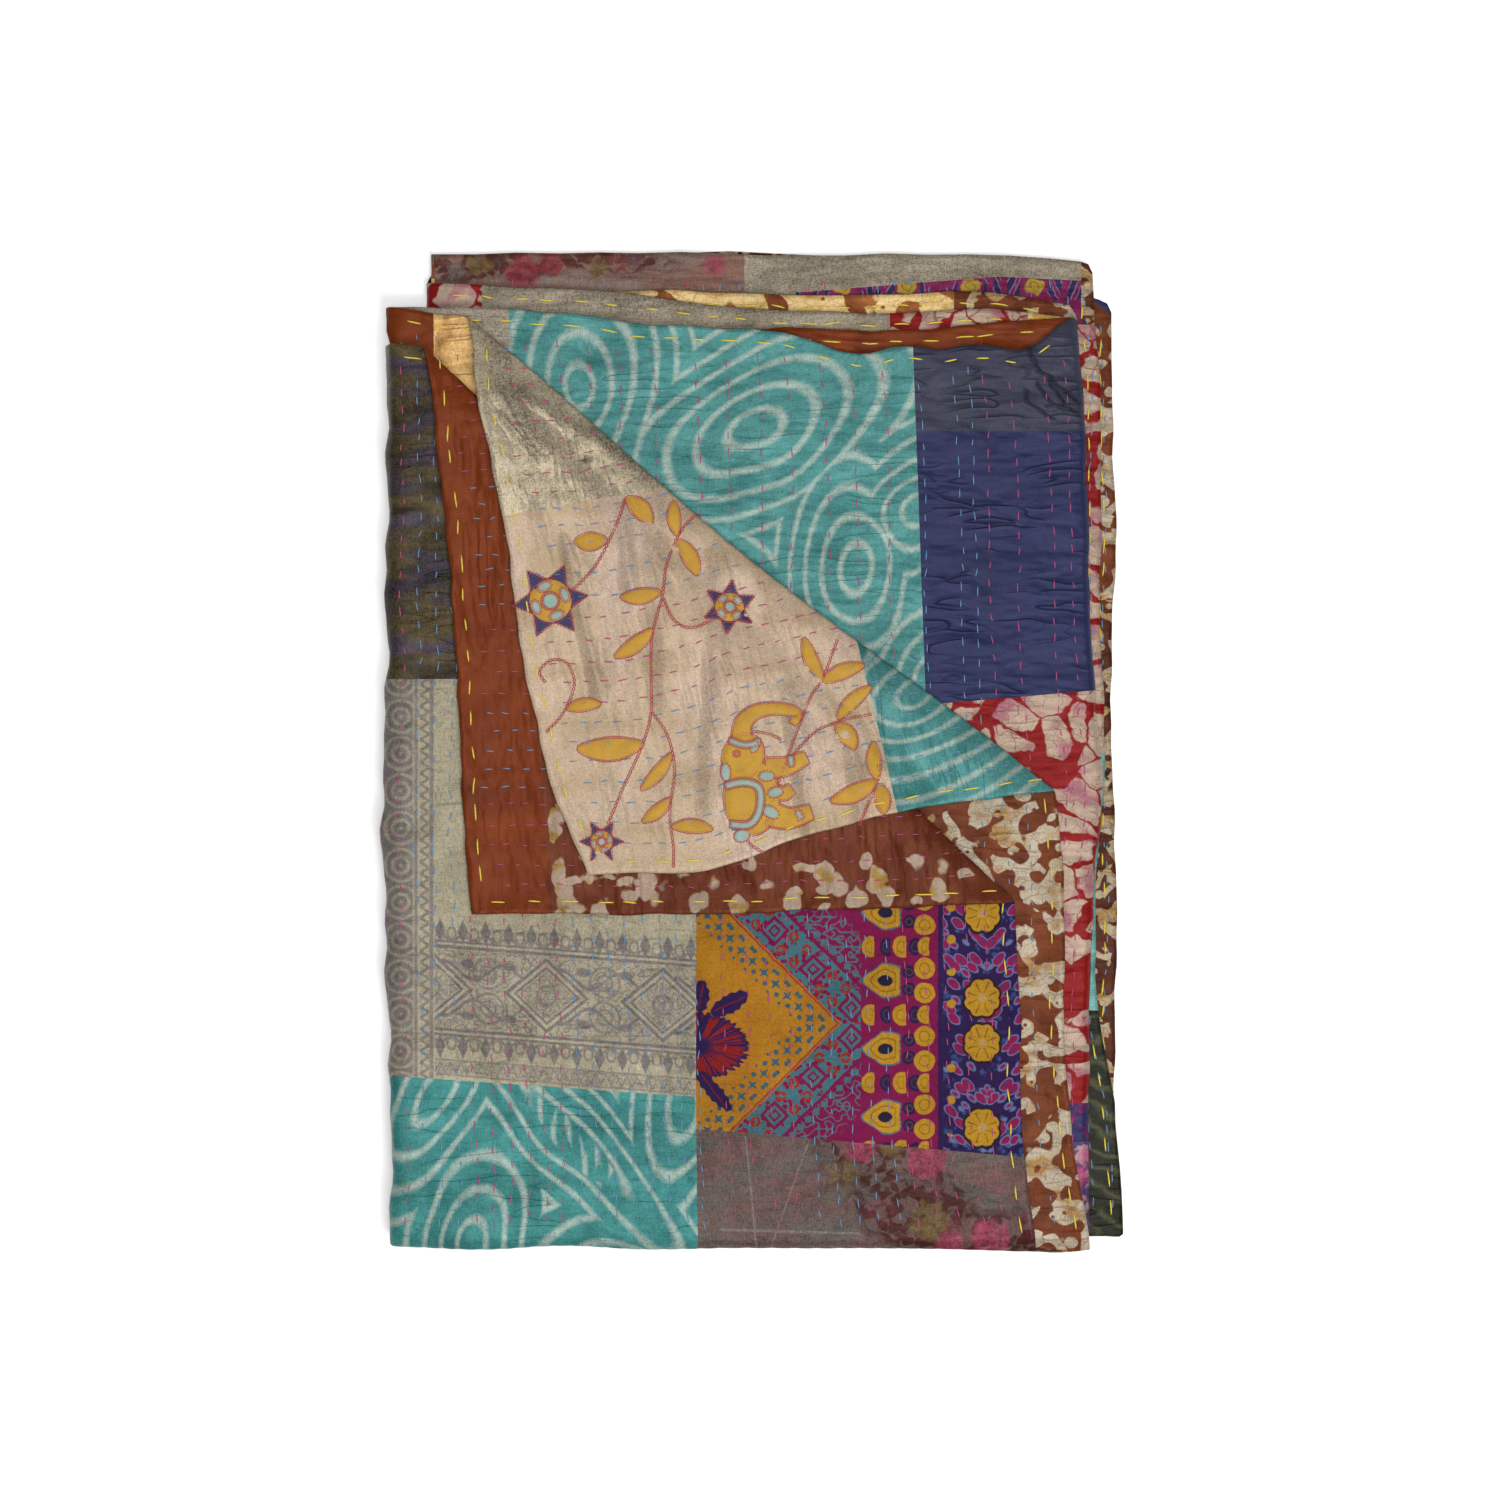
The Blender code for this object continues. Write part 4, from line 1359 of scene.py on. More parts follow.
    # The column of round flowers.
    last = x.above(148.5, 0.4)
    leaf_x, leaf_y = turned(abs(x - FLOWER_U - 4), y, (0, 0), 42)
    leaves = cells(leaf_x, leaf_y, 15, 8.5, seed=6)
    small = cells(x, y, 5, 5, seed=2)
    bud = length(x - 155, y.repeat(26, 6))
    pair = abs(y.repeat(FLOWER_PITCH, FLOWER_PAIR[0])) - FLOWER_PAIR[1]
    flower_x = x - FLOWER_U
    ray = pair.math("ARCTAN2", flower_x)
    round_it = length(flower_x * 1.05, pair * 0.97) - abs((ray * 4).math("SINE")) * 1.8
    return layered(
        colour, (purple, abs(x - 146.5).below(2.2, 0.4)), (purple, last),
        ("#2C3C68", last * small.below(0.42, 0.08)
         * noise(u, v, 18, 18, 0, 5).above(0.5, 0.05)),
        ("#53628A", last * leaves.below(0.47, 0.03)),
        ("#74153F", last * leaves.below(0.40, 0.03)),
        ("#3A2C5C", last * leaves.below(0.13, 0.04)),
        ("#98701D", last * bud.below(3.6, 0.4)
         * noise(u, v, 30, 22, 0, 3).above(0.47, 0.01)),
        ("#1E141F", last * round_it.below(15.6)),
        ("#9B731E", last * round_it.below(13.4, 0.4)),
        ("#4F3E13", last * round_it.between(2.5, 11, 0.4)
         * abs((ray * 4).math("COSINE")).below(0.2, 0.12) * 0.8),
        ("#9A7A50", last * round_it.below(2, 0.6)))

# %% [markdown]
# ## Flowered silks
#
# The mauve silk has a blurred print of pink flowers among maroon leaves, thickest along a
# spray, and the others carry scattered small flowers. Leaves are cells that are longer
# than wide, along two directions, and where a bloom's place is plain to see, it is given.
# The magenta border has gold blobs with fans of dark leaves between them, and the cream
# sari is plain, with the soft lines of its old folds, whose pressed lines are darkened
# with painted shade.

# %% Flowered silk materials


def blurred_flowers(name, ground, other, leaf, pink, sprays, blossoms=(), pale=(), **changes):
    """Leaves and flowers as soft cells, only inside the sprays: centre, direction, sizes.

    Blossoms are added one by one, as u, v, radius and colour, and pale lines along the
    given lines.
    """
    material, u, v = new_fabric(name)
    bent_u, bent_v = bent(u, v, 10, 2, (1, 5), 9, 0.5)
    where = None
    for centre, degrees, long, wide in sprays:
        along_it, across = turned(bent_u, bent_v, centre, degrees)
        spray = length(along_it / long, across / wide).below(1, 0.22)
        where = spray if where is None else where.most(spray)
    leaves = None
    for degrees, seed in ((38, 2), (-42, 5)):
        leaf_u, leaf_v = turned(bent_u, bent_v, (0, 0), degrees)
        leaf_cells = cells(leaf_u, leaf_v, 13.5, 6.5, seed=seed).below(0.46, 0.06)
        leaves = leaf_cells if leaves is None else leaves.most(leaf_cells)
    blooms = cells(bent_u, bent_v, 44, 38, seed=9)
    bloom = blooms.below(0.30, 0.06)
    colour = layered(
        ground, (other, noise(u, v, 60, 22, 3).above(0.5, 0.15)), (leaf, where * 0.2),
        (leaf, leaves * where * 0.95),
        (pink, bloom * where.most(0.15) * (0.15 if blossoms else 0.8)),
        (leaf, abs(blooms - 0.16).below(0.02, 0.02) * where * 0.5))
    petal = noise(u, v, 7, 7, 1, 6)
    for at_u, at_v, radius, paint in blossoms:
        away = length(bent_u - at_u, bent_v - at_v) + (petal - 0.5) * radius * 1.1
        colour = layered(colour, (paint, away.below(radius, 2.5) * 0.72),
                         (leaf, away.below(radius, 2.5) * petal.above(0.58, 0.06) * 0.55))
    if pale:
        colour = painted(colour, "#7E7670", pressed(u, v, pale).above(0.5, 0.4) * 0.35)
    MATERIALS[name] = silk(material, u, v, colour, **changes)


SPRAYS = (((118, -346), -40, 84, 28), ((118, -378), -24, 48, 20),
          ((178, -396), 5, 66, 25), ((88, -322), -8, 44, 16),
          ((-230, -200), 30, 80, 60))
PINK, OLIVE = "#7F3045", "#574825"
MAUVE_BLOSSOMS = ((81, -318, 12, PINK), (136, -328, 15, PINK), (186, -391, 15, PINK),
                  (154, -396, 10, PINK), (69, -340, 11, OLIVE), (137, -377, 15, OLIVE),
                  (106, -318, 8, OLIVE), (-236, -180, 18, PINK))
ROSE_BLOSSOMS = ((-192, 391, 13, "#742733"), (-228, 398, 9, OLIVE), (-246, 392, 8, "#564A47"),
                 (-170, 399, 9, "#742733"), (-132, 394, 8, OLIVE), (-36, 397, 8, PINK),
                 (-100, 402, 6, "#4A3A3F"), (-210, 402, 6, "#3A2424"))
PALE_LINES = ((-11, -310, -2, -400, 1.4), (40, -313, 10, -397, 1.2), (-30, -384, 80, -387, 2))
blurred_flowers("mauve silk", "#573F3C", "#4A4540", "#37130F", "#7C2C42", SPRAYS,
                MAUVE_BLOSSOMS, PALE_LINES, crease=0.1, folds=0.1, slub=0.5, stain=0.4)
blurred_flowers("rose silk", "#6B4D42", "#6A5A52", "#45201A", "#83404A",
                (((-215, 398), 4, 66, 14), ((-120, 400), 0, 50, 8)),
                ROSE_BLOSSOMS, crease=0.15, slub=0.35)
blurred_flowers("pink floral", "#9E7D82", "#926F76", "#3F2A52", "#9A3661",
                (((230, -360), 90, 90, 70), ((-200, -260), 20, 150, 150)),
                crease=0.2)
blurred_flowers("purple silk", "#3F1744", "#691447", "#1F254C", "#AD8224",
                (((130, 360), 0, 170, 60), ((200, -300), 0, 90, 30)),
                crease=0.3, slub=0.3)

# %% Magenta border with gold blobs and fans of dark leaves
BLOB_AT, BLOB_PITCH = (172, 384), 52


@fabric("magenta print", gloss=0.1, crease=0.2)
def magenta_print(u, v):
    """Leaves where |s| and a share of t add up to the middle of a repeat."""
    shake = (noise(u, v, 7, 7, 2, 1) - 0.5) * 5
    s, t = (u - BLOB_AT[0] + shake).repeat(BLOB_PITCH), v - BLOB_AT[1] + shake * 0.5
    fan = (abs(s) + t * 0.45).repeat(9.5)
    apart = abs(s).between(10.5, 25) * abs(t + 4).below(11, 1) \
        * noise(u, v, 6, 30, 0, 4).above(0.42, 0.03)
    leaf = abs(fan).below(2.3, 0.4) * apart
    outline = abs(abs(fan) - 2.9).below(0.4, 0.3) * apart
    blob = length(s * 0.9, t + 4 + (s * 0.6).math("SINE"))
    return layered("#5E0D38", ("#6B1444", noise(u, v, 14, 14).above(0.5, 0.1)),
                   ("#1E1A40", leaf), ("#6A6C92", outline * 0.7),
                   ("#8E7426", blob.below(6.8, 0.6)),
                   ("#5A4A18", abs(blob - 3.4).below(0.5, 0.4) * 0.7))

# %% Cream sari
CREAM_FOLDS = 42  # the sari was kept folded, which left soft lines this far apart
# The pressed lines of its old folds: x0, y0, x1, y1 and half the width. They are bumps, and
# their darkness is painted shade.
CREAM_LINES = ((-58, 237, 102, 268, 15), (-64, 263, 17, 275, 10), (1, 194, 190, 248, 15),
               (-26, 318, 91, 318, 10), (124, 167, 239, 175, 12), (182, 129, 255, 137, 10))


@fabric("cream sari", lines=CREAM_LINES, crease=0.12, slub=0.26, stain=0.22, gloss=0.14,
        crinkle=0.6, ridge=1.3, shade=0.16)
def cream_sari(u, v):
    """Soft bands a fold apart along a slanting, wandering place, and the pressed lines."""
    bands = (u * 0.94 + v * 0.16 + noise(u, v, 60, 120, 1) * 30).repeat(CREAM_FOLDS)
    colour = painted("#A8937B", "#957E61", abs(bands).below(6, 7) * 0.6)
    return painted(colour, "#B19B89", noise(u, v, 80, 60, 2, 4).above(0.55, 0.1))


print(len(MATERIALS), "fabric materials")

# %% [markdown]
# ## The cloth
#
# The cloth is a closed skin: side 1, side 2 and a rounded rim joining them at the hems.
# It is thinner on the rows of stitches, which draw it in, so each row makes a small
# channel between softer ridges.

# %% The cloth
PINCHED = 0.35


def skin(middle, normal, points, triangles):
    """Both sides and the rim between them: places, faces, and the point each came from."""
    half = THICK / 2 * (1 - PINCHED * points[:, PINCH])[:, None]
    count = len(middle)
    ends = np.stack([triangles, np.roll(triangles, -1, axis=1)], -1).reshape(-1, 2)
    key = np.sort(ends, -1)
    edges, where, times = np.unique(key[:, 0] * count + key[:, 1], return_index=True,
                                    return_counts=True)
    rim = ends[where[times == 1]]
    on_rim = np.unique(rim)
    out = np.zeros_like(middle)
    for i, edge in enumerate((rim[:, 0], rim[:, 1])):
        outward = unit(np.cross(middle[rim[:, 1]] - middle[rim[:, 0]], normal[edge]))
        np.add.at(out, edge, outward)
    ring = np.full(count, -1)
    ring[on_rim] = 2 * count + np.arange(len(on_rim))
    places = np.concatenate([middle + normal * half, middle - normal * half,
                             middle[on_rim] + unit(out[on_rim]) * THICK * 0.4])
    a, b = rim[:, 0], rim[:, 1]
    side = [np.stack([b, a, ring[a]], 1), np.stack([b, ring[a], ring[b]], 1),
            np.stack([ring[b], ring[a], a + count], 1),
            np.stack([ring[b], a + count, b + count], 1)]
    faces = np.concatenate([triangles, triangles[:, ::-1] + count] + side)
    source = np.concatenate([np.arange(count), np.arange(count), on_rim])
    owner = where[times == 1] // 3
    return places, faces, source, owner


places, faces, source, owner = skin(middle, normal, points, triangles)
low, high = places.min(0), places.max(0)
SHIFT = np.array([*(cad_low + cad_high)[:2] / 2 - (low + high)[:2] / 2, -low[2]])
materials_of = np.concatenate([fabric_1, fabric_2, fabric_1[owner], fabric_1[owner],
                               fabric_2[owner], fabric_2[owner]])
cloth = mesh_object("quilt_cloth", places + SHIFT, faces,
                    [MATERIALS[name] for name in FABRICS], materials_of,
                    uv=points[source][:, [U, V]])
print("cloth:", len(faces), "triangles,", np.round((high - low) / MM, 1), "mm")

# %% [markdown]
# ## Running stitches
#
# Rows of running stitches go through all the layers of the cloth, in threads of several
# colours, about 14 mm apart. A stitch is a short piece of thread, 0.9 mm thick, or 1.3 mm
# in the hems, whose ends dip into the cloth and whose middle stands on it. All stitches of
# one thread are one mesh: rings of five points round a path of five points, for every
# stitch at once.

# %% Places on the cloth
ROW_THREAD, HEM_THREAD = 0.9 * MM, 1.3 * MM
random = np.random.default_rng(11)
UP_SIDE = dict(zip(LAYERS, (1, 2) * 4))  # which side of the cloth is up on each layer
LEVEL_OF = {name: PANEL_LEVEL[p] + PANELS[p]["up"] * (PLY if q == 0 else -PLY)
            for name, (p, q) in PLACE_OF.items()}


def on_cloth(name, side, x, y, height):
    """Places at a height over a side of a layer, and that side's unit normal there."""
    level = np.full(np.shape(x), LEVEL_OF[name])
    step = 0.5 * MM
    place = settle(x, y, level)
    normal = unit(np.cross(settle(x + step, y, level) - place,
                           settle(x, y + step, level) - place))
    if UP_SIDE[name] != side:
        normal = -normal
    return place + normal * (THICK / 2 + height)[..., None] + SHIFT, normal


def threads_along(name, side, x, y, thick, bury=0.1 * MM):
    """Places, faces of tubes along paths: x and y are n paths of m places each."""
    count, steps = x.shape
    share = np.linspace(-1, 1, steps)[None, :] * np.ones((count, 1))
    height = thick * 0.35 * (1 - share ** 4) - bury - thick * 0.35 * share ** 4
    centre, normal = on_cloth(name, side, x, y, height)
    ahead = unit(np.gradient(centre, axis=1))
    across = unit(np.cross(normal, ahead))
    turn = np.arange(5) * 2 * math.pi / 5 + math.pi / 10
    slim = np.sqrt(np.clip(1 - 0.75 * share ** 6, 0, 1))[..., None, None] * thick / 2
    ring = centre[:, :, None] + slim * (across[:, :, None] * np.cos(turn)[:, None]
                                        + 0.8 * normal[:, :, None] * np.sin(turn)[:, None])
    ring[..., 2] = np.maximum(ring[..., 2], 0.05 * MM)  # threads underneath are pressed flat
    index = np.arange(count * steps * 5).reshape(count, steps, 5)
    a, b = index[:, :-1], index[:, 1:]
    sides = np.stack([a, b, np.roll(b, -1, 2), np.roll(a, -1, 2)], -1).reshape(-1, 4)
    faces = np.concatenate([sides[:, [0, 1, 2]], sides[:, [0, 2, 3]]])
    caps = [index[:, end, order] for end, order in ((0, [0, 1, 2]), (0, [0, 2, 3]),
            (0, [0, 3, 4]), (-1, [0, 2, 1]), (-1, [0, 3, 2]), (-1, [0, 4, 3]))]
    return ring.reshape(-1, 3), np.concatenate([faces] + caps)[:, ::-1]


def dashes(x, y, pitch, long, first=0.0):
    """Centres spaced along a path, and five places along each: two n x 5 arrays."""
    step = np.hypot(np.diff(x), np.diff(y))
    run = np.concatenate([[0], np.cumsum(step)])
    centre = np.arange(first + pitch / 2, run[-1] - pitch / 2, pitch)
    centre = centre + random.normal(0, 0.09, len(centre)) * pitch
    size = long * random.uniform(0.75, 1.2, len(centre))
    at = centre[:, None] + size[:, None] * np.linspace(-0.5, 0.5, 5)[None, :]
    off = random.normal(0, 0.35 * MM, (len(centre), 1)) \
        + random.normal(0, 0.35 * MM, (len(centre), 1)) * np.linspace(-1, 1, 5)
    wx, wy = np.interp(at, run, x), np.interp(at, run, y)
    way = np.arctan2(wy[:, -1:] - wy[:, :1], wx[:, -1:] - wx[:, :1])
    return wx - off * np.sin(way), wy + off * np.cos(way)

# %% Which rows are which thread, and where they show
THREADS = {"pink": "#A63E6C", "blue": "#5C86AC", "yellow": "#D2BC36"}
ROW_THREADS = {
    "A": "PBBBPPPPPPBBBBBBBBPPPPBBBBBPPPPP",
    "B": "BBBBBBBPPPPPPPPBBBBBPPPPPBBBBBBB",
    "C": "BBBBBBBPPPPPPPPPPPPBBBPPPP",
}


def shows(name, side, x, y):
    """Whether a place on a side of a layer is seen from above, or from below for H."""
    past_a, past_b = past_line(x, y, TURN_A), past_line(x, y, TURN_B)
    if name == "A":
        return past_a < -4 * MM if side == 1 else past_a > 2 * MM
    if name == "B":
        return past_b > 3 * MM if side == 1 else \
            (past_b < 0) & ((y > 312 * MM) | (x > 180 * MM))
    if name == "C":
        return (side == 1) & ((past_b > -22 * MM) | (x > 190 * MM))
    if side != UP_SIDE[name]:
        return np.full(np.shape(x), name == "H")
    return (y > 325 * MM) | (x > 240 * MM)


def sew_rows(name, side):
    """All rows of a layer's side, as (thread, x, y) with n x 5 places."""
    panel, ply = PLACE_OF[name]
    found = []
    up = np.linspace(0.012, 0.985, 60)
    for row, share in enumerate(ROWS[panel]):
        letters = ROW_THREADS.get(name)
        letter = letters[row % len(letters)] if letters else "PPPPPBBBBB"[row % 10]
        thread = {"P": "pink", "B": "blue"}[letter]
        x, y, _ = flat_point(panel, ply, np.full(len(up), share), up)
        x = x + 0.8 * MM * np.sin(up * 23 + row * 1.7)
        wx, wy = dashes(x, y, 15 * MM, 7.2 * MM if side == 1 else 5.6 * MM,
                        random.uniform(0, 12) * MM)
        seen = shows(name, side, wx[:, 2], wy[:, 2])
        found.append((thread, wx[seen], wy[seen]))
    return found


def sew_hems(name, side):
    """The yellow stitches 9 mm in from a layer's top hem and its free side hem."""
    panel, ply = PLACE_OF[name]
    found = []
    across = np.linspace(0.01, 0.985, 60)
    x, top, _ = flat_point(panel, ply, across, np.ones(60))
    if name != "G":
        found.append((x, top - HEM_LINE))
    if panel in (0, 3):
        up = np.linspace(0.01, 0.985, 60)
        x, y, _ = flat_point(panel, ply, np.ones(60), up)
        found.append((x - HEM_LINE, y))
    for x, y in found:
        wx, wy = dashes(x, y, 26 * MM, 12.5 * MM)
        seen = shows(name, side, wx[:, 2], wy[:, 2])
        yield "yellow", wx[seen], wy[seen]

# %% Sew
sewn = {thread: [] for thread in THREADS}
for name, side in (("A", 1), ("A", 2), ("B", 1), ("B", 2), ("C", 1), ("D", 2), ("E", 1),
                   ("F", 2), ("G", 1), ("H", 2), ("H", 1)):
    for thread, x, y in sew_rows(name, side) + list(sew_hems(name, side)):
        if len(x):
            thick = HEM_THREAD if thread == "yellow" else ROW_THREAD
            sewn[thread].append(threads_along(name, side, x, y, thick))


def joined(pieces):
    """Many (places, faces) as one, each piece's faces counted on from those before."""
    starts = np.cumsum([0] + [len(places) for places, _ in pieces[:-1]])
    return (np.concatenate([places for places, _ in pieces]),
            np.concatenate([faces + start for (_, faces), start in zip(pieces, starts)]))


def cotton(name, colour, darkest, *noises, sheen=0.0):
    """Matt cotton: its threads, and on cloth a few faded places, make it lighter and darker.

    Each noise is its scale, its detail and how much lighter it makes the darkest value.
    """
    material = bpy.data.materials.new(name)
    material.use_nodes = True
    tree = material.node_tree
    place = add(tree, "TexCoord", out=3)
    value, fields = darkest, []
    for scale, detail, share in noises:
        fields.append(add(tree, "TexNoise", {"Vector": place, "Scale": scale,
                                             "Detail": detail}))
        value = fields[-1] * share + value
    mixed = add(tree, "HueSaturation", {"Color": colour, "Value": value})
    shader = tree.nodes["Principled BSDF"]
    tree.links.new(mixed.socket, shader.inputs["Base Color"])
    tree.links.new((fields[0] * 0.2 + 0.6).socket, shader.inputs["Roughness"])
    shader.inputs["Sheen Weight"].default_value = sheen
    return material


def thread_material(name, colour):
    """Twisted thread: its plies, 1.1 mm apart, catch the light in turn."""
    # the noise's lighter and darker places are painted highlight and shade of the plies
    return cotton(name, colour, 0.55, (900.0, 1.0, 0.9), sheen=0.1)


stitches = []
for thread, pieces in sewn.items():
    places_of, faces_of = joined(pieces)
    stitches.append(mesh_object("stitches_" + thread, places_of, faces_of,
                                [thread_material("cotton_" + thread, THREADS[thread])]))
    print(thread, "thread:", len(faces_of), "triangles")

# %% [markdown]
# ## Embroidery on the cream patch
#
# The cream sari has a vine in red chain stitch, leaves of gold cloth with a stitched
# outline, star flowers with round centres and an elephant. They are drawn here with a few
# curves. A drawing's places are on the turned corner as it is seen from above, so they
# are carried back over the fold line to the flat cloth first.

# %% Drawing on the turned corner
CHAIN, APPLIQUE = "#A03C42", "#AD821D"
LOOP = np.array([0.0, 0.65, 0.95, 0.7, 0.05])  # how far a chain's loop bows out, in mm
SUNK = 0.05 * MM  # how deep the edges of sewn-on cloth lie in the cloth below


def unfolded(x, y):
    """From a place seen on the turned corner of layer B to the flat cloth, in metres."""
    x, y = np.asarray(x, float) * MM, np.asarray(y, float) * MM
    a, way, normal = line_through(TURN_B)
    px, py = x, y
    for _ in range(4):  # undo the bow, then mirror at the fold
        bx, by = bowed(px, py)
        px, py = px + (x - bx), py + (y - by)
    past = (px - a[0]) * normal[0] + (py - a[1]) * normal[1]
    over = math.pi * TURN_RADIUS - TURN_RADIUS
    move = -2 * past + over - TURN_RADIUS
    return px + move * normal[0], py + move * normal[1]


def smooth_path(corners, count=40):
    """A curve through a few corners, evenly sampled: Catmull-Rom through each column."""
    corners = np.array(corners, float)
    share = np.linspace(0, 1, count)
    return along(corners[:, 0], share) / MM, along(corners[:, 1], share) / MM


def aside(x, y, off):
    """Places beside a path: off to its left, along its gradient turned by a quarter."""
    dx, dy = np.gradient(x, axis=-1), np.gradient(y, axis=-1)
    run = np.maximum(np.hypot(dx, dy), 1e-6)
    return x - dy / run * off, y + dx / run * off


def chain(x, y, size=2.6, thick=0.8, lift=0.0):
    """Chain stitch: bowed short stitches on both sides of a line, seen as open loops."""
    step = np.concatenate([[0], np.cumsum(np.hypot(np.diff(x), np.diff(y)))])
    count = max(int(step[-1] / size), 2)
    at = (np.arange(count) + 0.5) * step[-1] / count
    found = []
    for sign in (-1, 1):
        lengths = at[:, None] + size * 0.62 * np.linspace(-1, 1, 5)[None, :]
        wx, wy = np.interp(lengths, step, x), np.interp(lengths, step, y)
        fx, fy = unfolded(*aside(wx, wy, sign * LOOP))
        found.append(threads_along("B", 1, fx, fy, thick * MM, (0.05 - lift) * MM))
    return found


def filled(x, y, height=0.5 * MM):
    """A flat piece of cloth inside an outline, as a fan of rings towards its middle."""
    mid = np.array([x.mean(), y.mean()])
    rings = np.array([1.0, 0.97, 0.66, 0.33])[:, None]
    rx, ry = mid[0] + rings * (x - mid[0]), mid[1] + rings * (y - mid[1])
    rx, ry = np.append(rx.ravel(), mid[0]), np.append(ry.ravel(), mid[1])
    rise_of = np.repeat([0.0, 1, 1, 1], len(x)) * height - SUNK
    rise_of = np.append(rise_of, height - SUNK)
    fx, fy = unfolded(rx, ry)
    places_of, _ = on_cloth("B", 1, fx, fy, rise_of)
    count, last = len(x), len(rx) - 1
    index = np.arange(4 * count).reshape(4, count)
    a, b = index[:-1].ravel(), np.roll(index[:-1], -1, 1).ravel()
    c, d = np.roll(index[1:], -1, 1).ravel(), index[1:].ravel()
    centre = np.stack([index[3], np.roll(index[3], -1), np.full(count, last)], 1)
    return places_of, np.concatenate([np.stack([a, b, c], 1), np.stack([a, c, d], 1), centre])


def facing_up(places_of, faces_of):
    """The faces turned so that the piece as a whole faces upwards."""
    a, b, c = (places_of[faces_of[:, i]] for i in range(3))
    up = np.cross(b - a, c - a)[:, 2].sum() > 0
    return places_of, faces_of if up else faces_of[:, ::-1]


def closed(x, y):
    """An outline with its first place once more at its end."""
    return np.append(x, x[0]), np.append(y, y[0])


def ribbon(x, y, width, height=0.5 * MM):
    """A strip of cloth along a path: four columns, the outer two at the cloth's face."""
    side = np.array([-1.0, -0.86, 0.86, 1.0])[:, None] * np.asarray(width) / 2
    fx, fy = unfolded(*aside(x, y, side))
    over = np.array([0.0, 1.0, 1.0, 0.0])[:, None] * height - SUNK + 0 * fx
    places_of, _ = on_cloth("B", 1, fx, fy, over)
    index = np.arange(4 * len(x)).reshape(4, len(x))
    a, b, c, d = (part.ravel() for part in (index[:-1, :-1], index[:-1, 1:], index[1:, 1:],
                                            index[1:, :-1]))
    return (places_of.reshape(-1, 3),
            np.concatenate([np.stack([a, b, c], 1), np.stack([a, c, d], 1)]))


def ribbon_edge(x, y, width):
    """The closed line round a ribbon."""
    half = np.asarray(width) / 2
    (left_x, left_y), (right_x, right_y) = aside(x, y, half), aside(x, y, -half)
    return closed(np.append(left_x, right_x[::-1]), np.append(left_y, right_y[::-1]))

# %% Vines, leaves and stars: places seen on the turned corner, in millimetres
VINES = (
    ((-151, 131), (-131, 152), (-115, 184), (-108, 206)),
    ((-45, 197), (-57, 187), (-67, 172), (-75, 150), (-78, 126), (-86, 95), (-87, 58),
     (-87, 33), (-94, 7), (-109, -26), (-122, -57)),
    ((-77, 125), (-69, 108), (-55, 101), (-36, 108)),
    ((-87, 34), (-74, 15), (-68, -13), (-72, -47), (-69, -76), (-69, -92)),
    ((-172, 17), (-157, 34), (-149, 56), (-155, 73), (-168, 75), (-177, 66), (-172, 57)),
    ((14, -27), (29, 14), (41, 45), (51, 60), (63, 92)),
    ((18, -13), (41, 14), (62, 25), (91, 32)),
    ((80, -58), (94, -25), (96, -8)),
)
LEAVES = (  # tip x, tip y, root x, root y, width
    (-87, 186, -107, 206, 15), (-148, 171, -123, 172, 14), (-69, 203, -66, 176, 10),
    (-50, 144, -65, 172, 13), (-111, 126, -80, 130, 12), (-116, 78, -86, 100, 12),
    (-146, 4, -94, 8, 19), (-95, -29, -71, 0, 10), (-94, -55, -72, -36, 10),
    (-38, -61, -70, -59, 11), (-128, 40, -155, 36, 10), (36, 93, 51, 60, 11),
    (84, 71, 51, 58, 12), (90, 54, 63, 28, 11), (77, 4, 62, 24, 14),
    (58, -38, 94, -22, 14), (92, 9, 95, -21, 11), (100, -48, 96, -25, 12),
)
STARS = ((-168, 123, 17.5, 30, 8), (-24, 118, 12, 22, 24), (-127, -71, 9, 17, 0))

drawn = {"gold": [], "pale": [], "purple": []}
chains = []
for vine in VINES:
    chains += chain(*smooth_path(vine), size=3.6, thick=0.85)
for tip_x, tip_y, root_x, root_y, width in LEAVES:
    share = np.linspace(0, 1, 14)
    dx, dy = tip_x - root_x, tip_y - root_y
    bow = 0.05 * np.sin(np.pi * share)
    x, y = root_x + dx * share - dy * bow, root_y + dy * share + dx * bow
    width = width * np.sin(np.pi * (0.04 + 0.92 * share)) ** 0.8
    drawn["gold"].append(ribbon(x, y, width))
    chains += chain(*ribbon_edge(x, y, width))


def circle(x, y, radius, squash=1.0, degrees=0.0):
    """An oval's outline: cosine and sine times its half axes, turned."""
    angle = np.arange(24) * 2 * math.pi / 24
    cosine, sine = math.cos(math.radians(degrees)), math.sin(math.radians(degrees))
    a, b = radius * np.cos(angle), radius * squash * np.sin(angle)
    return x + a * cosine - b * sine, y + a * sine + b * cosine


def polar(x, y, far, angle):
    """The place at a distance and an angle from another."""
    return np.array([x + far * math.cos(angle), y + far * math.sin(angle)])


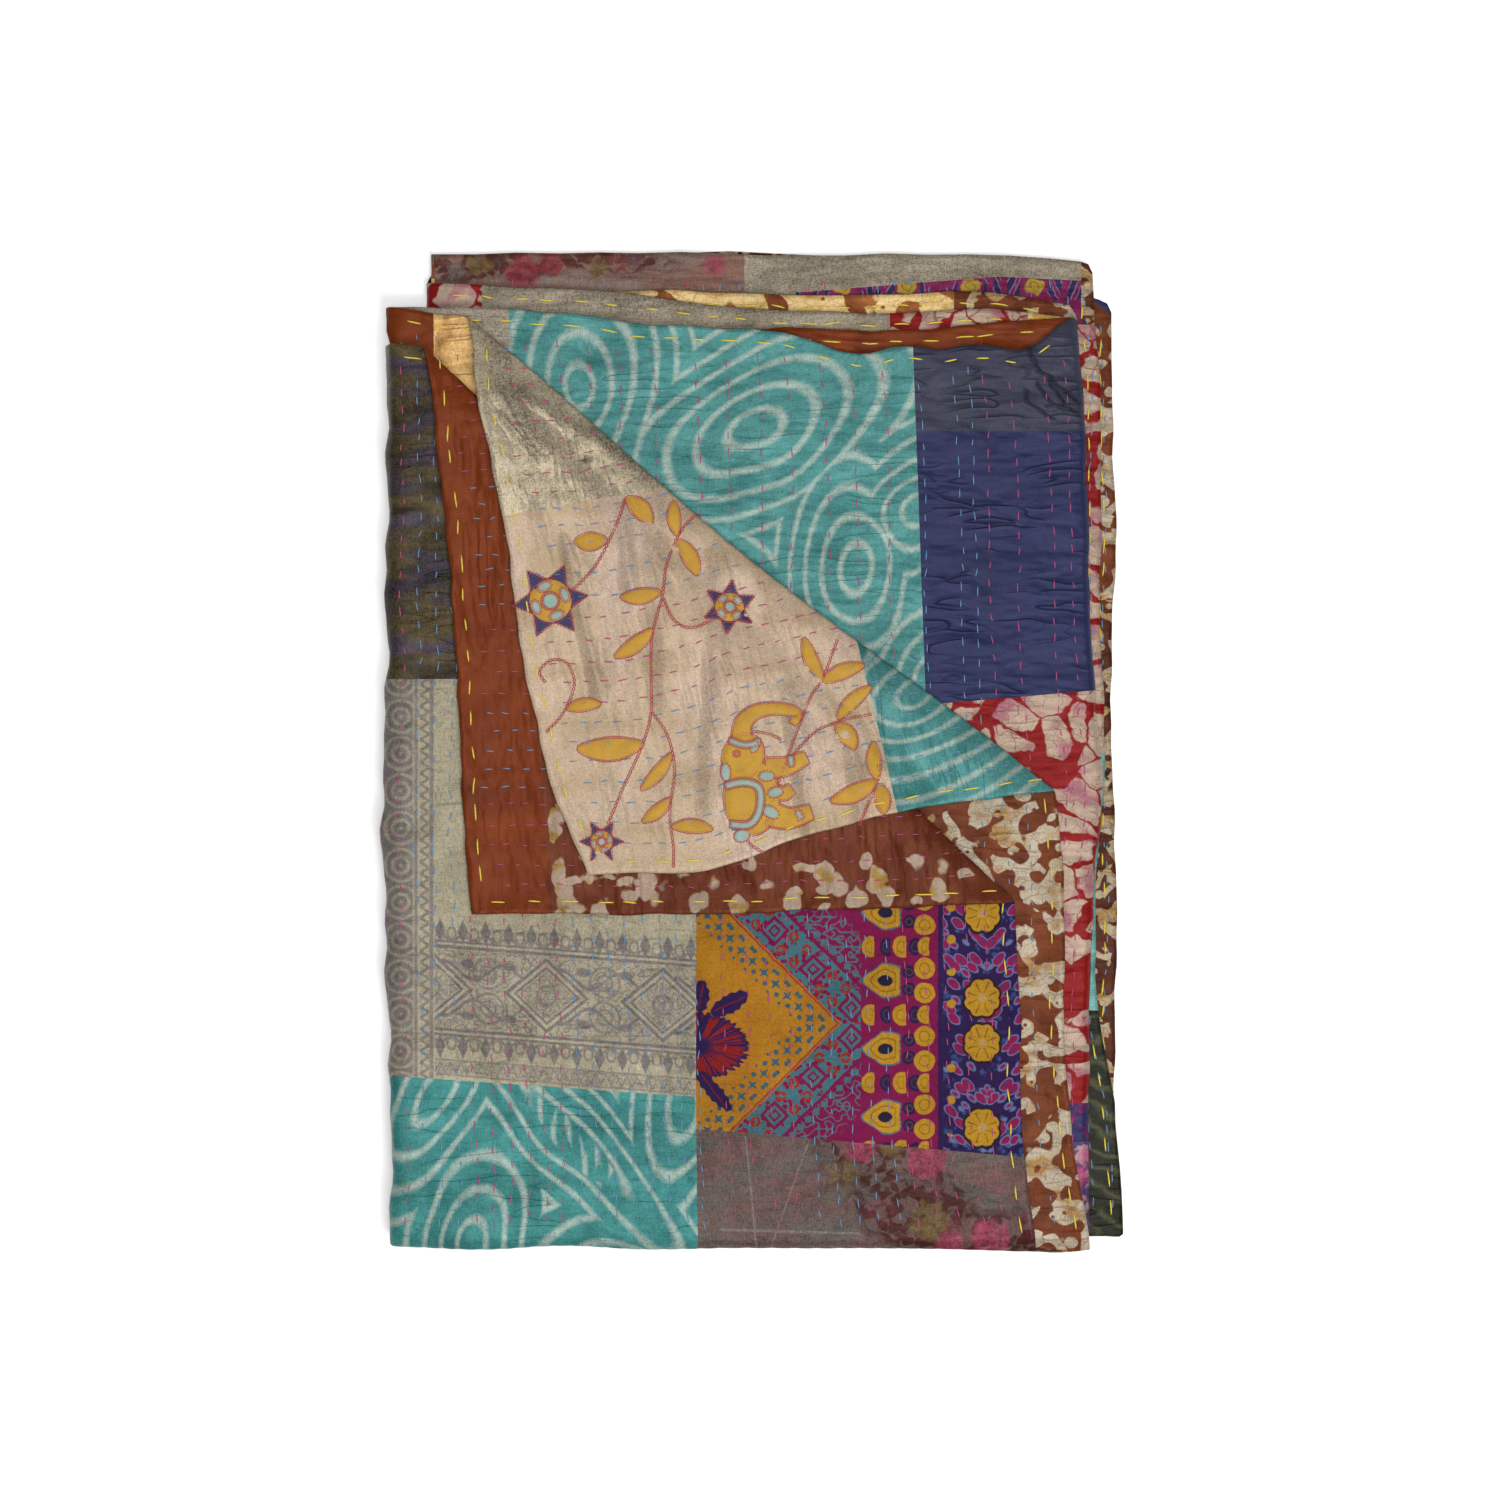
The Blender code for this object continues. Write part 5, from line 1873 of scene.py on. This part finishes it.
for x, y, small, large, degrees in STARS:
    for point in range(6):
        angle = math.radians(degrees + 60 * point)
        tip = polar(x, y, large, angle)
        foot = [polar(x, y, small * 0.97, angle + turn) for turn in (-0.5, 0.5)]
        share = np.linspace(0, 1, 5)[:, None]
        edge = np.concatenate([foot[0] + (tip - foot[0]) * share,
                               tip + (foot[1] - tip) * share[1:]])
        drawn["purple"].append(filled(edge[:, 0], edge[:, 1]))
        chains += chain(edge[:, 0], edge[:, 1])
    drawn["gold"].append(filled(*circle(x, y, small), 0.6 * MM))
    chains += chain(*closed(*circle(x, y, small)))
    drawn["pale"].append(filled(*circle(x, y, small * 0.34), 0.9 * MM))
    chains += chain(*closed(*circle(x, y, small * 0.4)), lift=0.7)
    for point in range(4):
        angle = math.radians(degrees + 15 + 90 * point)
        spot = circle(*polar(x, y, small * 0.72, angle), small * 0.34, 0.6,
                      degrees + 90 * point - 75)
        drawn["pale"].append(filled(*spot, 0.8 * MM))
        chains += chain(*closed(*spot), thick=0.7, lift=0.55)

# %% [markdown]
# The elephant is a common motif of this craft. Its body and head are ovals, its legs and
# trunk ribbons that narrow, and pale cloth makes its ear, saddle and straps. It is drawn
# in its own frame, x from its tail to its head and y up its back, and then turned.

# %% The elephant
ELEPHANT_AT = (0.0, -20.0)


def placed(x, y):
    """The elephant's frame turned by a quarter, its head to the top."""
    return ELEPHANT_AT[0] - np.asarray(y, float), ELEPHANT_AT[1] + np.asarray(x, float)


def limb(corners, widths, paint="gold", count=22, height=0.5, **stitch):
    """A ribbon through a few corners, its width changing evenly, with its stitched edge."""
    x, y = smooth_path([placed(*corner) for corner in corners], count)
    width = np.interp(np.linspace(0, 1, count), np.linspace(0, 1, len(widths)), widths)
    drawn[paint].append(ribbon(x, y, width, height * MM))
    return chain(*ribbon_edge(x, y, width), **stitch)


def strap(corners, wide, height):
    """A band of pale cloth laid over the body."""
    return limb(corners, (wide, wide), "pale", 30, height, thick=0.7, lift=height - 0.25)


chains += limb(((-28, -8), (-32, -24), (-27, -42)), (22, 17, 12))
chains += limb(((-10, -10), (-12, -20), (-8, -26)), (13, 11, 9))
chains += limb(((8, -6), (10, -22), (17, -38)), (18, 15, 10))
chains += limb(((30, 14), (44, 13), (54, 2), (56, -16), (52, -30), (44, -27)),
               (17, 14, 11, 9, 8, 6))
for outline, paint, height in (
        (circle(*placed(-15, 6), 31, 0.72, 90), "gold", 0.5),
        (circle(*placed(18, 13), 19, 0.85, 60), "gold", 0.6),
        (circle(*placed(2, -6), 6, 0.6, 0), "pale", 0.9),
        (circle(*placed(-11, -13), 6, 0.6, 15), "pale", 0.9),
        (circle(*placed(-27, -9), 7, 0.6, -30), "pale", 0.9),
        (circle(*placed(27, 3), 6, 0.5, 62), "pale", 0.9),
        (circle(*placed(5, 27), 7, 0.5, 95), "pale", 0.9),
        (circle(*placed(-46, 14), 6, 0.8, 20), "pale", 0.7)):
    drawn[paint].append(filled(*outline, height * MM))
    chains += chain(*closed(*outline), lift=max(height - 0.55, 0.0))
chains += strap(((-6, 27), (-3, 12), (-8, 0), (-26, 0), (-37, 8), (-37, 23)), 6.0, 1.1)
chains += strap(((31, 24), (27, 12), (29, 1)), 5.0, 1.0)
chains += strap(((-26, -31), (-33, -34)), 5.0, 0.9)
chains += strap(((10, -26), (18, -25)), 5.0, 0.9)
chains += chain(*closed(*circle(*placed(20, 18), 2.6, 0.8)), size=2.2, lift=0.6)
for corners in (((-46, 12), (-54, 6), (-60, -4)), ((38, 6), (36, -8), (31, -18))):
    chains += chain(*smooth_path([placed(*corner) for corner in corners], 20), size=3.6,
                    thick=0.85)

# %% One mesh for each cloth and the chain stitch
motifs = []
for paint, colour in (("gold", APPLIQUE), ("pale", "#86998F"), ("purple", "#261E48")):
    places_of, faces_of = joined([facing_up(*piece) for piece in drawn[paint]])
    motifs.append(mesh_object("motifs_" + paint, places_of, faces_of,
                              [cotton("cotton_cloth_" + paint, colour, 0.5,
                                      (700.0, 2.0, 0.5), (90.0, 2.0, 0.5))]))
places_of, faces_of = joined(chains)
motifs.append(mesh_object("chain_stitch", places_of, faces_of,
                          [thread_material("cotton_chain", CHAIN)]))
print("motifs:", [len(piece.data.polygons) for piece in motifs], "triangles")

# %% [markdown]
# ## Camera, floor and light
#
# The camera hangs 3.2 m over the quilt, far enough to see all of it nearly straight on,
# and its lens takes in the photograph's width. The floor is white paper that glows a
# little, so that it stays white beside the cloth. A broad lamp over the camera gives the
# silk its gloss, and one to the lower right the shadows beside the hems.

# %% Camera, floor and light
WIDTH_SEEN = 1500 * 0.815 * MM  # the photograph's width at its scale
HEIGHT, SENSOR = 3.2, 36
ROOM_LIGHT, PAPER_GLOW = 0.42, 0.2


def placed_object(name, data, place):
    """A camera or lamp, at its place."""
    made = bpy.data.objects.new(name, data)
    made.location = place
    bpy.context.scene.collection.objects.link(made)
    return made


camera = placed_object("camera", bpy.data.cameras.new("camera"), (-0.002, 0.0, HEIGHT))
camera.data.sensor_width = SENSOR
camera.data.lens = SENSOR * HEIGHT / WIDTH_SEEN
bpy.context.scene.camera = camera
white = bpy.data.materials.new("white paper")
white.use_nodes = True
for key, value in (("Base Color", linear("#F4F4F4")), ("Roughness", 0.9),
                   ("Emission Color", (1, 1, 1, 1)), ("Emission Strength", PAPER_GLOW)):
    white.node_tree.nodes["Principled BSDF"].inputs[key].default_value = value
floor = mesh_object("floor", np.array([(-4, -4, 0), (4, -4, 0), (4, 4, 0), (-4, 4, 0)]),
                    np.arange(4)[None], [white], smooth=False)
for name, size, energy, place in (("over", 1.3, 46, (0.0, 0.15, 3.6)),
                                  ("side", 1.2, 62, (0.9, -1.3, 2.9))):
    lamp = placed_object(name, bpy.data.lights.new(name, "AREA"), place)
    lamp.data.shape, lamp.data.size, lamp.data.energy = "SQUARE", size, energy
    lamp.rotation_euler = (-lamp.location).to_track_quat("-Z", "Y").to_euler()
world = bpy.data.worlds.new("room")
bpy.context.scene.world = world
world.use_nodes = True
world.node_tree.nodes["Background"].inputs["Color"].default_value = (1, 1, 1, 1)
world.node_tree.nodes["Background"].inputs["Strength"].default_value = ROOM_LIGHT
bpy.context.scene.view_settings.view_transform = "Standard"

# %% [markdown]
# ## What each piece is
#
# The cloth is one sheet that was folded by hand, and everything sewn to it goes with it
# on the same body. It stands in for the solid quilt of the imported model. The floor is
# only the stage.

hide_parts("quilt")
for piece in (cloth, *stitches, *motifs):
    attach(piece, "root")
floor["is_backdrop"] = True
low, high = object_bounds()
{"cad": [list(cad_low), list(cad_high)], "visual": [list(low), list(high)]}
